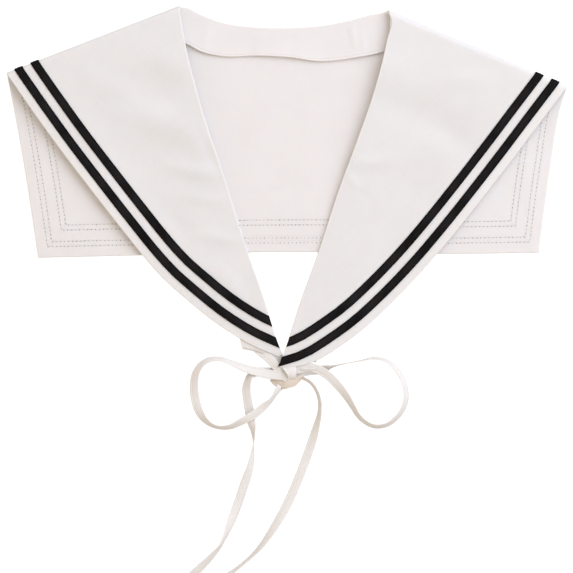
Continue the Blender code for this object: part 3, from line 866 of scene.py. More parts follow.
def band_on_back():
    """The band's middle round the back neck, with its free edge lifted in soft waves."""
    left, right = back_ends(AT_NECK, BAND_WIDTH)
    neck = smooth(back_neck(), BAND_ROWS_BACK)
    free = smooth([left, *BAND_BACK_FREE, right], BAND_ROWS_BACK)
    plan = rows_between(neck, free, BAND_ACROSS)
    turns = np.pi * BAND_WAVES * np.arange(BAND_ROWS_BACK + 1) / BAND_ROWS_BACK
    from_ends = np.abs(np.sin(turns / BAND_WAVES)) ** 0.5
    rise = BAND_LIFT * from_ends + BAND_WAVE * np.sin(turns) ** 2
    wave = rise[:, None] * BAND_ACROSS[None, :] ** 2
    lift = smoothstep(BAND_ACROSS / BAND_SEAM)[None, :]
    height = CLOTH / 2 + BAND_IN + wave + swell_height(BAND_WRINKLES, plan) * lift
    return with_height(plan, height)


# %% Make the band


def band_flat(middle):
    """The band's flat address: across its width, and along its middle."""
    return strip_address(BAND_ACROSS * BAND_WIDTH, lengths_along(middle[:, BAND_COLUMNS // 2]))


band_middle = np.concatenate([
    band_under_front(LEFT, BAND_END_LEFT, BAND_END_BOW)[::-1],
    band_in_fold(LEFT_FOLD),
    band_on_back(),
    band_in_fold(RIGHT_FOLD)[::-1],
    band_under_front(RIGHT, BAND_END_RIGHT),
])
band_cloth = band_flat(band_middle)
band_border = np.stack([band_cloth[..., 1], BAND_WIDTH - band_cloth[..., 0]], axis=-1)
band_mesh = cloth_wall("band", band_middle, tapered(len(band_middle), BAND_WALL), band_cloth, band_border)
band = add_piece("band", band_mesh, ["neck_band"])

# %% [markdown]
# ## The black tapes
#
# Two woven tapes run along each front, parallel to its cut edge. They are sewn on, so each stands a good
# half millimetre proud and has a soft crown between two stitched grooves. A stripe painted on in the
# material would lose that edge in a close view. Each tape starts on the shoulder fold and is cut off by
# the neck edge.

# %% Lines parallel to the cut edge
TAPE_WALL = 0.6
TAPE_ROWS = 150
TAPE_FOLD_ROWS = 8
TAPE_ACROSS = (0.0, 0.06, 0.13, 0.2, 0.28, 0.4, 0.5, 0.6, 0.72, 0.8, 0.87, 0.94, 1.0)  # shares of its width
TAPE_RISE = (0.0, 0.05, 0.02, -0.1, 0.02, 0.08, 0.1, 0.08, 0.02, -0.1, 0.02, 0.05, 0.0)  # its crown there
TAPE_OUT = COLLAR_WALL / 2 + TAPE_WALL / 2 + LAYER_AIR
TAPE_LAST_ANGLE = -10.0  # how far round the shoulder fold a tape is built: the rest faces the table
FINE_STEPS = 240


def inset_line(front, inset):
    """Points in plan at this distance in from the cut edge, from the fold's crease to the neck edge."""
    neck_line, edge_line = front_edges(front, GUIDE_STEPS)
    neck_line = np.vstack([neck_line, 2 * neck_line[-1] - neck_line[-2]])
    crease = np.array([in_plan(front.fold, place, 90) for place in fold_ends(front.fold, 90)])
    fine = even(edge_line, FINE_STEPS)
    line = fine + inward_normals(fine, neck_line[0] - edge_line[0]) * inset
    before = line[0] + (line[0] - line[1]) * inset
    line = np.vstack([before, line])
    first, start = crossing(line, crease)
    last, end = crossing(line[first + 1 :], neck_line)
    return np.vstack([start, line[first + 1 : first + last + 2], end])


def over_the_fold(fold, start, out, steps):
    """Points round the fold, from just past its crease to where the line starts on the front."""
    place = (start - np.array(fold.peak)) @ fold_axes(fold)[1]
    rows = []
    for angle in np.linspace(TAPE_LAST_ANGLE, 90, steps + 1)[:-1]:
        moved = fold_shift(fold.corner_shift, angle) - fold.corner_shift[1]
        rows.append(fold_point(fold, place + moved, angle, out))
    return np.array(rows)


def tape_line(front, inset, out):
    """A line along a tape in three dimensions, from the shoulder fold to the neck edge."""
    line = even(inset_line(front, inset), TAPE_ROWS)
    return np.vstack([over_the_fold(front.fold, line[0], out, TAPE_FOLD_ROWS), on_front(front, line, out)])


def add_tape(name, front, inset, replaced):
    lines = [
        tape_line(front, inset + share * TAPE_WIDTH, TAPE_OUT + rise)
        for share, rise in zip(TAPE_ACROSS, TAPE_RISE)
    ]
    middle = np.stack(lines, axis=1)
    at = lengths_along(middle[:, len(TAPE_ACROSS) // 2])
    flat = strip_address(np.array(TAPE_ACROSS) * TAPE_WIDTH, at)
    print(name, "length:", round(at[-1], 1), "mm")
    return add_piece(name, cloth_wall(name, middle, TAPE_WALL, flat), [replaced])


INNER_BORDER = BORDER + TAPE_WIDTH + STRIPE_GAP
FRONTS = (("left", LEFT), ("right", RIGHT._replace(edge=TAPE_GUIDE_RIGHT)))
tapes = []
for side, front in FRONTS:
    for place, inset in (("outer", BORDER), ("inner", INNER_BORDER)):
        tapes.append(add_tape(f"tape_{side}_{place}", front, inset, f"stripe_{side}_{place}"))


# %% [markdown]
# ## Routes of the ties
#
# The ties are narrow folded strips. Laid down they stand on edge in their bends and lie flat in their
# straights, which is why their width seems to come and go. So a tie is a tape along a route, and each
# point of the route says where the tape is, how high its lower edge is and how far it is tilted: 0 lies
# flat, 90 stands on edge and 180 has turned over.

# %% Tables of the ties
TIE_BASE_LEFT = rows_of(
    Turn,
    (-24.0, -119.5, 0.3, 0), (-20.6, -123.0, 0.35, 0), (-16.8, -125.9, 0.7, 0), (-13.1, -128.9, 1.5, 0),
    (-9.8, -132.5, 2.2, 4), (-6.9, -136.2, 2.6, 6), (-3.6, -138.6, 2.3, 0), (0.4, -139.2, 2.2, 0),
)
LOOP_LEFT = rows_of(
    Turn,
    (1.6, -141.9, 3.0, 0), (-3.0, -141.8, 3.2, 0), (-9.0, -141.3, 3.2, 2), (-18.5, -139.5, 3.3, 10),
    (-28.5, -137.0, 2.6, 28), (-39.5, -132.8, 1.4, 52), (-49.0, -129.3, 0.6, 62),
    (-57.0, -129.3, 0.4, 60), (-63.2, -132.3, 0.3, 52), (-67.5, -138.0, 0.3, 38),
    (-69.6, -149.0, 0.3, 20), (-68.3, -160.5, 0.3, 10), (-65.5, -169.0, 0.3, 20),
    (-61.2, -175.2, 0.3, 48), (-54.5, -179.6, 0.4, 64), (-44.5, -180.4, 1.0, 58),
    (-33.6, -175.8, 3.0, 38), (-24.5, -170.6, 3.3, 24), (-17.2, -164.9, 2.2, 34),
    (-12.1, -160.3, 0.8, 60), (-8.9, -155.8, 0.4, 62), (-6.6, -152.3, 0.3, 50), (-4.8, -149.4, 0.3, 42),
)
LOOP_RIGHT = rows_of(
    Turn,
    (2.2, -138.2, 2.7, 0), (7.5, -136.9, 2.7, 0), (14.5, -136.0, 2.7, 3), (22.5, -136.7, 3.2, 8),
    (30.0, -141.0, 4.0, 14), (37.5, -148.2, 2.8, 18), (44.7, -157.3, 1.2, 36), (49.5, -165.2, 0.5, 52),
    (53.6, -171.8, 0.4, 58), (58.0, -176.0, 0.3, 61), (65.0, -179.5, 0.3, 62), (74.6, -178.6, 0.3, 61),
    (81.3, -174.1, 0.3, 58), (86.6, -167.4, 0.3, 56), (89.5, -158.9, 0.3, 55), (89.1, -151.4, 0.3, 55),
    (86.2, -143.0, 0.3, 57), (80.7, -135.3, 0.3, 62), (74.0, -130.2, 0.3, 71), (65.0, -128.6, 0.3, 80),
    (54.6, -130.6, 0.3, 87), (43.0, -132.6, 0.3, 93), (35.8, -134.2, 0.3, 100),
    (31.0, -135.6, 0.3, 122), (28.4, -136.4, 0.3, 143), (26.4, -137.0, 0.3, 150),
    (19.0, -138.6, 0.5, 136), (12.0, -139.2, 0.6, 154), (4.0, -139.8, 0.3, 176),
)
TAIL_LEFT = rows_of(
    Turn,
    (-2.6, -139.7, 0.3, 0), (-9.0, -139.6, 0.3, 0), (-17.5, -138.8, 0.3, 0), (-23.6, -139.2, 0.3, 22),
    (-27.6, -142.0, 0.3, 44), (-29.6, -146.6, 0.3, 38), (-30.4, -151.8, 0.3, 20),
    (-29.8, -157.5, 0.3, 14), (-28.6, -165.5, 0.3, 8), (-27.0, -174.5, 0.3, 10),
    (-25.3, -183.0, 0.3, 56), (-24.9, -191.5, 0.3, 86), (-25.6, -199.5, 0.3, 112),
    (-27.3, -209.5, 0.3, 136), (-30.7, -220.0, 0.3, 166), (-35.2, -233.5, 0.3, 180),
    (-39.3, -244.8, 0.3, 168), (-43.4, -255.3, 0.3, 138), (-46.8, -263.5, 0.3, 114),
    (-50.0, -269.5, 0.3, 112), (-55.0, -275.5, 0.3, 126), (-61.8, -282.6, 0.3, 142),
    (-72.0, -292.0, 0.3, 160), (-82.5, -300.5, 0.3, 175),
)
TAIL_RIGHT = rows_of(
    Turn,
    (11.6, -143.1, 0.3, 70), (17.5, -146.6, 0.3, 70), (22.2, -153.0, 0.3, 70), (24.5, -160.6, 0.3, 68),
    (24.5, -169.0, 0.3, 64), (22.0, -180.0, 0.3, 40), (18.4, -192.5, 0.3, 12), (14.0, -205.0, 0.3, 0),
    (7.5, -221.8, 0.3, 0), (0.9, -236.8, 0.3, 4), (-6.0, -249.5, 0.3, 20), (-12.7, -260.2, 0.3, 40),
    (-18.3, -268.0, 0.3, 54), (-24.7, -275.2, 0.3, 66), (-33.0, -282.6, 0.3, 74),
    (-43.5, -290.8, 0.3, 60), (-54.5, -298.5, 0.3, 30),
)

# %% [markdown]
# ## Making a tie
#
# A folded strip of cotton has a soft, slightly hollow section: both faces bulge a little near the folded
# edge and dip beside the sewn one. The section is a short table of places across the width with the
# thickness at each, and the wall builder carries it along the route.

# %% A tape along its route
TIE_WALL = 0.9
TIE_ACROSS = (0.0, 0.07, 0.15, 0.23, 0.32, 0.45, 0.6, 0.75, 0.87, 0.95, 1.0)  # shares of its width
TIE_THICK = (0.75, 0.95, 0.9, 0.6, 0.85, 1.0, 1.0, 1.0, 1.0, 0.95, 0.8)  # shares of its wall there


def tie_route(turns, stations):
    """(middle points, unit vectors across the tape) along a route in millimetres."""
    route = smooth(turns, stations)
    runs = unit(np.gradient(route[:, :2], axis=0))
    tilt = np.radians(route[:, 3])
    side = np.stack([-runs[:, 1] * np.cos(tilt), runs[:, 0] * np.cos(tilt), np.sin(tilt)], axis=1)
    height = route[:, 2] + TIE_WIDTH / 2 * np.abs(side[:, 2]) + TIE / 2 * np.abs(np.cos(tilt))
    return np.column_stack([route[:, :2], height]), side


def strip_mesh(name, centres, sides, width, wall):
    """A strip of folded cloth along centres, as wide as width at each of them."""
    width = np.broadcast_to(np.asarray(width, float), len(centres))
    shares = np.array(TIE_ACROSS) - 0.5
    middle = centres[:, None] + sides[:, None] * (shares[None, :, None] * width[:, None, None])
    flat = strip_address((shares + 0.5) * TIE_WIDTH, lengths_along(centres))
    walls = wall * np.array(TIE_THICK)[None, :] * np.ones((len(centres), 1))
    walls[[0, -1]] *= END_TAPER[0]
    walls[[1, -2]] *= END_TAPER[1]
    return cloth_wall(name, middle, walls, flat)


ROUTE_STEP = 1.4  # between two stations on a route


def add_tie(name, turns, replaced):
    """(piece, middle points, length) of a tie."""
    rough = lengths_along(np.array([turn[:2] for turn in turns]))[-1]
    centres, sides = tie_route(turns, round(rough / ROUTE_STEP))
    mesh = strip_mesh(name, centres, sides, TIE_WIDTH, TIE_WALL)
    length = lengths_along(centres)[-1]
    print(name, "length:", round(length, 1), "mm")
    return add_piece(name, mesh, replaced), centres, length


loop_left = add_tie("loop_left", LOOP_LEFT, ["bow_loop_left"])
loop_right = add_tie("loop_right", LOOP_RIGHT, ["bow_loop_right"])
tail_left = add_tie("tail_left", TAIL_LEFT, ["tie_tail_left"])
tail_right = add_tie("tail_right", TAIL_RIGHT, ["tie_tail_right"])
base_left = add_tie("base_left", TIE_BASE_LEFT, ["tie_base_left"])

# %% [markdown]
# ## The knot
#
# Where the bow is tied, one strip comes out from under the right point, goes over the strands and is
# tucked in below them. Under it the other strip is folded on itself. Both are strips again, with
# routes in three dimensions, because rounded blocks would not show the turns of the cloth.

# %% Tables of the knot
Strand = namedtuple("Strand", "x y z width turn roll")
WRAP = rows_of(
    Strand,
    (1.2, -127.5, 2.5, 10.2, -84, 0), (1.3, -130.5, 2.5, 10.4, -84, 0),
    (1.5, -133.0, 3.0, 10.8, -84, 0), (1.8, -135.6, 4.7, 10.4, -82, -4),
    (2.8, -138.2, 6.1, 8.6, -80, -7), (3.6, -140.6, 6.0, 7.2, -80, -8),
    (3.9, -142.8, 4.6, 6.6, -80, -6), (4.0, -144.2, 2.6, 6.6, -80, -4), (3.9, -144.8, 1.2, 6.2, -80, 0),
)
FOLDED_LEFT = rows_of(
    Strand,
    (-11.2, -143.4, 1.7, 5.4, -38, 10), (-8.0, -146.0, 2.0, 6.8, -34, 10),
    (-4.8, -147.8, 2.2, 6.4, -22, 8), (-1.6, -149.0, 2.2, 5.4, -20, 6), (0.6, -149.8, 1.7, 4.2, -20, 0),
)
FOLDED_RIGHT = rows_of(
    Strand,
    (-4.0, -150.9, 2.2, 2.8, 30, 0), (-2.4, -150.0, 2.8, 4.2, 26, 6), (0.8, -147.9, 3.2, 6.2, 16, 2),
    (5.0, -146.7, 3.0, 6.2, 27, -4), (7.6, -144.6, 2.5, 5.2, 42, -8), (11.6, -141.6, 2.0, 3.0, 50, -8),
)


def strand_route(rows, stations):
    """(middle points, unit vectors across, widths): turn is the run's direction, roll tips it sideways."""
    table = smooth(rows, stations)
    turn = np.radians(table[:, 4])
    roll = np.radians(table[:, 5])
    side = np.stack([-np.sin(turn) * np.cos(roll), np.cos(turn) * np.cos(roll), np.sin(roll)], axis=1)
    return table[:, :3], side, table[:, 3]


STRAND_STATIONS = 40
WRAP_WALL = 0.8


def add_strand(name, rows, wall, replaced=()):
    mesh = strip_mesh(name, *strand_route(rows, STRAND_STATIONS), wall)
    return add_piece(name, mesh, replaced)


wrap = add_strand("knot_wrap", WRAP, WRAP_WALL, ["bow_wrap", "tie_base_right"])
folded = [
    add_strand("knot_folded_left", FOLDED_LEFT, TIE_WALL, ["bow_fold"]),
    add_strand("knot_folded_right", FOLDED_RIGHT, TIE_WALL),
]

# %% [markdown]
# ## Stitches
#
# A lockstitch is a row of short thread bars with a needle hole between each two. On the tapes the thread is
# black on black, two rows a tape. On the flap we look at the wrong side, where the bobbin thread is ivory
# and a dark dot of the black top thread shows in every hole. Real small meshes are used, all of a row
# in one piece, since a bump can't give a thread its own colour and its own shadow. Lengths and places
# vary a little from stitch to stitch, from a fixed seed.

# %% Thread bars along a line
STITCH_SIDES = 6
STITCH_TURNS = 2 * np.pi * np.arange(STITCH_SIDES) / STITCH_SIDES
STITCH_RINGS = (
    (0.0, 0.35, -0.9),
    (0.12, 0.9, -0.1),
    (0.5, 1.0, 0.45),
    (0.88, 0.9, -0.1),
    (1.0, 0.35, -0.9),
)  # place along the bar, share of the thread's width, and lift in half widths
STITCH_SPREAD = 0.05  # how far a needle hole strays, as a share of the pitch
STITCH_SEED = 7
UP = np.array([0.0, 0.0, 1.0])
stitch_chance = np.random.default_rng(STITCH_SEED)


def stitch_places(line, pitch):
    """The needle holes on a line in three dimensions, with small differences in their spacing."""
    at = lengths_along(line)
    count = int(at[-1] // pitch)
    strays = stitch_chance.normal(0.0, STITCH_SPREAD * pitch, count)
    holes = pitch * (0.5 + np.arange(count)) + strays
    return at_lengths(line, at, holes)


def thread_bars(line, pitch, thread, share):
    """(points, faces) of thread bars along the line: each shows over this share of the pitch."""
    holes = stitch_places(line, pitch)
    starts, ends = holes[:-1], holes[1:]
    run = ends - starts
    trim = (1.0 - share) / 2
    starts, ends = starts + run * trim, ends - run * trim
    along = unit(run)
    aside = unit(np.cross(along, UP))
    above = np.cross(aside, along)
    circle = aside[:, None] * np.cos(STITCH_TURNS)[None, :, None]
    circle = circle + above[:, None] * np.sin(STITCH_TURNS)[None, :, None]
    rings = []
    for place, thick, lift in STITCH_RINGS:
        centre = starts + (ends - starts) * place + above * (lift * thread / 2)
        rings.append(centre[:, None] + circle * (thick * thread / 2))
    points = np.stack(rings, axis=1)
    return points.reshape(-1, 3), bar_faces(len(starts), len(STITCH_RINGS), STITCH_SIDES)


def bar_faces(bars, rings, sides):
    """Quads between the rings of each bar, and a cap on its first and its last ring."""
    pattern = []
    for ring in range(rings - 1):
        for j in range(sides):
            k = (j + 1) % sides
            low, high = ring * sides, (ring + 1) * sides
            pattern.append([low + j, low + k, high + k, high + j])
    shift = np.arange(bars)[:, None, None] * rings * sides
    faces = (np.array(pattern)[None] + shift).reshape(-1, 4).tolist()
    caps = []
    for bar in range(bars):
        first = bar * rings * sides
        last = first + (rings - 1) * sides
        caps.append([first + j for j in reversed(range(sides))])
        caps.append([last + j for j in range(sides)])
    return faces + caps


def joined_bars(name, parts):
    """One mesh of several (points, faces)."""
    points, faces, count = [], [], 0
    for some, their in parts:
        points.append(some)
        faces += [[corner + count for corner in face] for face in their]
        count += len(some)
    points = np.concatenate(points) * MM
    return make_mesh(name, points, faces, {"cloth": points[:, :2] / MM})


# %% Stitches on the tapes
TAPE_STITCH = 2.6
TAPE_THREAD = 0.36
TAPE_BAR = 0.86  # the share of a stitch that shows as thread
TAPE_STITCH_AT = 1.3
THREAD_SUNK = 0.1  # how deep the stitches are pulled into the tape


def tape_stitches(front, inset):
    """The two stitched rows of a tape that starts this far in from the cut edge."""
    parts = []
    for across_tape in (TAPE_STITCH_AT, TAPE_WIDTH - TAPE_STITCH_AT):
        out = TAPE_OUT + TAPE_WALL / 2 - THREAD_SUNK
        line = tape_line(front, inset + across_tape, out)[TAPE_FOLD_ROWS:]
        parts.append(thread_bars(line, TAPE_STITCH, TAPE_THREAD, TAPE_BAR))
    return parts


tape_threads = []
for side, front in FRONTS:
    parts = tape_stitches(front, BORDER) + tape_stitches(front, INNER_BORDER)
    threads = add_piece(f"tape_stitches_{side}", joined_bars(f"tape_stitches_{side}", parts))
    tape_threads.append(threads)


# %% Stitches on the flap's wrong side
FLAP_ROWS = (8.1, 11.8, 20.2, 24.0)  # distances in from the cut edge
FLAP_STITCH = 3.0
BOBBIN_THREAD = 0.24
BOBBIN_BAR = 0.8  # the share of a stitch that shows as thread
HOLE_DOT = 0.78
HOLE_SIZES = (0.7, 1.15)  # the smallest and the largest dot, as shares of HOLE_DOT
HOLE_RINGS = ((1.0, -0.15), (0.75, 0.12), (0.25, 0.17))  # share of a dot's radius, and height
FLAP_STEPS = 90
FLAP_INSIDE = (0.0, 20.0)  # a place on the flap, which tells the inner side of its edges
OUTER_PAIR = 16.0  # rows less far in than this are the outer pair
WANDER = 1.3  # the outer pair of rows strays towards the hem in its middle
WANDER_REACH = 80.0


def flap_row(inset):
    """A row this far in from the flap's sides and hem in plan, mitred at the corners."""
    left, hem, right = back_edges()
    middle = np.array(FLAP_INSIDE)
    rows = []
    for line in (left, hem, right):
        fine = even(line, FLAP_STEPS)
        rows.append(fine + inward_normals(fine, middle - fine[0]) * inset)
    left, hem, right = rows
    at_left, left_corner = crossing(left, hem)
    on_hem = crossing(hem, left)[0]
    at_right, right_corner = crossing(right, hem)
    off_hem = crossing(hem, right)[0]
    row = np.vstack([
        left[: at_left + 1],
        left_corner,
        hem[on_hem + 1 : off_hem + 1],
        right_corner,
        right[at_right + 1 :],
    ])
    row[:, 1] -= WANDER * np.exp(-((row[:, 0] / WANDER_REACH) ** 2)) * (inset < OUTER_PAIR)
    return row


def on_flap(plan, out):
    return with_height(plan, back_height(plan) + out)


def hole_dots(places):
    """Small flat discs over the needle holes."""
    circle = np.stack([np.cos(STITCH_TURNS), np.sin(STITCH_TURNS), np.zeros(STITCH_SIDES)], axis=1)
    sizes = HOLE_DOT / 2 * stitch_chance.uniform(*HOLE_SIZES, len(places))
    rings = []
    for share, lift in HOLE_RINGS:
        spread = circle[None] * (share * sizes)[:, None, None]
        rings.append(places[:, None] + spread + UP * lift)
    points = np.stack(rings, axis=1)
    return points.reshape(-1, 3), bar_faces(len(places), len(HOLE_RINGS), STITCH_SIDES)


bobbin_parts, dot_parts = [], []
for inset in FLAP_ROWS:
    line = on_flap(flap_row(inset), COLLAR_WALL / 2)
    bobbin_parts.append(thread_bars(line, FLAP_STITCH, BOBBIN_THREAD, BOBBIN_BAR))
    dot_parts.append(hole_dots(stitch_places(line, FLAP_STITCH)))
bobbin = add_piece("flap_bobbin_thread", joined_bars("flap_bobbin_thread", bobbin_parts))
dots = add_piece("flap_needle_holes", joined_bars("flap_needle_holes", dot_parts))

# %% [markdown]
# ## Finishes: effects that several cloths share
#
# Cloth, band, tapes and ties are all woven, all vary a little in tone and all pucker beside their
# stitches. Each effect is a node group, built once, that works on flat addresses in millimetres, so its
# scale is the cloth's own and doesn't change with the piece. An image texture would need a photograph of
# each cloth, while these few nodes give the right thread size at any distance.

# %% Helpers for node trees


def new_group(name, inputs, outputs):
    """(group, sockets given, sockets to fill): inputs are (name, kind, value), outputs are names."""
    group = bpy.data.node_groups.new(name, "ShaderNodeTree")
    for label, kind, value in inputs:
        socket = group.interface.new_socket(label, in_out="INPUT", socket_type=kind)
        if value is not None:
            socket.default_value = value
    for label in outputs:
        group.interface.new_socket(label, in_out="OUTPUT", socket_type="NodeSocketFloat")
    given = group.nodes.new("NodeGroupInput").outputs
    result = group.nodes.new("NodeGroupOutput").inputs
    return group, given, result


def feed(tree, socket, value):
    """Sets a socket to a number or a colour, or wires another node's socket into it."""
    if isinstance(value, bpy.types.NodeSocket):
        tree.links.new(value, socket)
    else:
        socket.default_value = value


def math_node(tree, operation, *values):
    node = tree.nodes.new("ShaderNodeMath")
    node.operation = operation
    for socket, value in zip(node.inputs, values):
        feed(tree, socket, value)
    return node.outputs[0]


def plus(tree, first, second):
    return math_node(tree, "ADD", first, second)


def minus(tree, first, second):
    return math_node(tree, "SUBTRACT", first, second)


def times(tree, first, second):
    return math_node(tree, "MULTIPLY", first, second)


def ramp_between(tree, value, low, high, out_low=0.0, out_high=1.0):
    """value from low to high as a smooth step from out_low to out_high."""
    node = tree.nodes.new("ShaderNodeMapRange")
    node.interpolation_type = "SMOOTHSTEP"
    for label, number in (("Value", value), ("From Min", low), ("From Max", high)):
        feed(tree, node.inputs[label], number)
    feed(tree, node.inputs["To Min"], out_low)
    feed(tree, node.inputs["To Max"], out_high)
    return node.outputs["Result"]


def scaled(tree, vector, scale):
    node = tree.nodes.new("ShaderNodeMapping")
    node.inputs["Scale"].default_value = scale
    feed(tree, node.inputs["Vector"], vector)
    return node.outputs["Vector"]


def noise(tree, vector, scale, detail=2.0, roughness=0.5):
    node = tree.nodes.new("ShaderNodeTexNoise")
    feed(tree, node.inputs["Vector"], vector)
    feed(tree, node.inputs["Scale"], scale)
    node.inputs["Detail"].default_value = detail
    node.inputs["Roughness"].default_value = roughness
    return node.outputs["Fac"]


def split(tree, vector):
    node = tree.nodes.new("ShaderNodeSeparateXYZ")
    feed(tree, node.inputs[0], vector)
    return node.outputs[0], node.outputs[1]


def joined(tree, x, y):
    node = tree.nodes.new("ShaderNodeCombineXYZ")
    feed(tree, node.inputs[0], x)
    feed(tree, node.inputs[1], y)
    return node.outputs[0]


# %% [markdown]
# ### Plain weave
#
# In a plain weave each thread goes over one and under the next. The height of one set of threads is a
# row of half sines across them, the other set is the same turned by a right angle, and the product of
# the two sines says which of them is on top. A little noise shifts the threads, since no loom is perfect.

# %% Node group: plain weave
DRIFT_SCALE = 0.35
CROSSING_SOFTNESS = 0.35  # over this share of a crossing one thread dips under the other


def make_weave_group():
    group, given, result = new_group(
        "plain_weave",
        [
            ("Address", "NodeSocketVector", None),
            ("Thread", "NodeSocketFloat", 0.4),
            ("Wander", "NodeSocketFloat", 0.1),
        ],
        ["Height", "Gap"],
    )
    drift = noise(group, given["Address"], DRIFT_SCALE, 3.0)
    shift = times(group, minus(group, drift, 0.5), given["Wander"])
    x, y = split(group, given["Address"])
    waves = []
    for value in (x, y):
        threads = math_node(group, "DIVIDE", plus(group, value, shift), given["Thread"])
        waves.append(math_node(group, "SINE", times(group, threads, math.pi)))
    warp = math_node(group, "ABSOLUTE", waves[0])
    weft = math_node(group, "ABSOLUTE", waves[1])
    on_top = ramp_between(group, times(group, *waves), -CROSSING_SOFTNESS, CROSSING_SOFTNESS)
    under = times(group, weft, minus(group, 1.0, on_top))
    height = math_node(group, "MULTIPLY_ADD", warp, on_top, under)
    open_warp = minus(group, 1.0, warp)
    open_weft = minus(group, 1.0, weft)
    group.links.new(height, result["Height"])
    group.links.new(times(group, open_warp, open_weft), result["Gap"])
    return group


weave_group = make_weave_group()
print("group:", weave_group.name, [item.name for item in weave_group.interface.items_tree])

# %% [markdown]
# ### Cloth tone
#
# Undyed cotton isn't one colour. Thicker yarns, slubs, show as short pale streaks along both thread
# directions, and handling leaves very soft clouds some centimetres across. The group gives the two
# separately, because the streaks also stand up a little and the clouds don't.

# %% Node group: cloth tone
SLUB_SCALES = ((0.06, 1.6, 1.0), (1.6, 0.05, 1.0))  # long along one thread direction, then the other
SLUB_RANGE = (0.36, 0.64)
CLOUD_SCALE = 0.035
CLOUD_RANGE = (0.3, 0.7)


def make_tone_group():
    group, given, result = new_group(
        "cloth_tone",
        [("Address", "NodeSocketVector", None), ("Yarn", "NodeSocketFloat", 1.0)],
        ["Streaks", "Clouds"],
    )
    streaks = []
    for scale in SLUB_SCALES:
        drawn_out = scaled(group, given["Address"], scale)
        streaks.append(noise(group, drawn_out, given["Yarn"], 2.0, 0.6))
    both = times(group, plus(group, *streaks), 0.5)
    clouds = noise(group, given["Address"], CLOUD_SCALE, 3.0, 0.55)
    group.links.new(ramp_between(group, both, *SLUB_RANGE), result["Streaks"])
    group.links.new(ramp_between(group, clouds, *CLOUD_RANGE), result["Clouds"])
    return group


tone_group = make_tone_group()
print("group:", tone_group.name)

# %% [markdown]
# ### Puckers of a stitched row
#
# A row of stitches draws the cloth in: there is a narrow groove along the thread, and fine ripples run
# square to it and die out within a few millimetres. The group takes the "border" address and the row's
# distance in from the edge, so one group serves every row of the collar and of the tapes.

# %% Node group: stitched row
GROOVE_WIDTH = 0.7  # on each side of the thread
GROOVE_HEIGHT = -0.35
RIPPLE_SCALE = 0.55
RIPPLE_SLANT = 0.12  # how fast the ripples change across the row, against along it


def make_row_group():
    group, given, result = new_group(
        "stitched_row",
        [
            ("Along", "NodeSocketFloat", 0.0),
            ("In", "NodeSocketFloat", 0.0),
            ("Row", "NodeSocketFloat", 8.0),
            ("Reach", "NodeSocketFloat", 3.0),
            ("Ripple", "NodeSocketFloat", 0.5),
        ],
        ["Height"],
    )
    gap = math_node(group, "ABSOLUTE", minus(group, given["In"], given["Row"]))
    groove = ramp_between(group, gap, 0.0, GROOVE_WIDTH, 1.0, 0.0)
    near = ramp_between(group, gap, 0.0, given["Reach"], 1.0, 0.0)
    slow = times(group, given["In"], RIPPLE_SLANT)
    ripples = noise(group, joined(group, given["Along"], slow), RIPPLE_SCALE, 2.0)
    raised = times(group, minus(group, ripples, 0.5), given["Ripple"])
    rippled = times(group, raised, near)
    group.links.new(math_node(group, "MULTIPLY_ADD", groove, GROOVE_HEIGHT, rippled), result["Height"])
    return group


row_group = make_row_group()
print("group:", row_group.name)

# %% [markdown]
# ## Materials
#
# Every material is a Principled BSDF with the groups in front of it. Cotton is rough, with a faint sheen
# from loose fibres. Constant numbers such as the sheen are set on the shader itself, and only what
# changes over the surface is wired in: colour, roughness and the bump.

# %% Helpers for materials
LIGHT_THROUGH = (1.0, 0.85, 0.72)  # how far red, green and blue light get through the cloth, as shares
CLOTH_DEPTH = 2.0
SHEEN_ROUGHNESS = 0.5


def let_light_through(shader, weight):
    """Light goes into thin cotton and comes out at its back, warmer, so shadows under it stay light."""
    shader.inputs["Subsurface Weight"].default_value = weight
    shader.inputs["Subsurface Radius"].default_value = LIGHT_THROUGH
    shader.inputs["Subsurface Scale"].default_value = CLOTH_DEPTH * MM


def new_material(name, roughness, sheen, specular):
    made = bpy.data.materials.new(name)
    made.use_nodes = True
    shader = made.node_tree.nodes["Principled BSDF"]
    shader.inputs["Roughness"].default_value = roughness
    shader.inputs["Sheen Weight"].default_value = sheen
    shader.inputs["Sheen Roughness"].default_value = SHEEN_ROUGHNESS
    shader.inputs["Specular IOR Level"].default_value = specular
    return made, made.node_tree, shader


def uv_address(tree, name):
    node = tree.nodes.new("ShaderNodeUVMap")
    node.uv_map = name
    return node.outputs["UV"]


def use_group(tree, group, **values):
    node = tree.nodes.new("ShaderNodeGroup")
    node.node_tree = group
    for label, value in values.items():
        feed(tree, node.inputs[label], value)
    return node


def blend_colour(tree, share, first, second):
    """A colour between two others, each a colour or another node's socket."""
    node = tree.nodes.new("ShaderNodeMix")
    node.data_type = "RGBA"
    feed(tree, node.inputs["Factor"], share)
    feed(tree, node.inputs["A"], first)
    feed(tree, node.inputs["B"], second)
    return node.outputs["Result"]


def bump(tree, height, depth, below=None):
    """A bump as deep as depth, in millimetres, where height goes from 0 to 1."""
    node = tree.nodes.new("ShaderNodeBump")
    node.inputs["Strength"].default_value = 1.0
    node.inputs["Distance"].default_value = depth * MM
    feed(tree, node.inputs["Height"], height)
    if below is not None:
        feed(tree, node.inputs["Normal"], below)
    return node.outputs["Normal"]
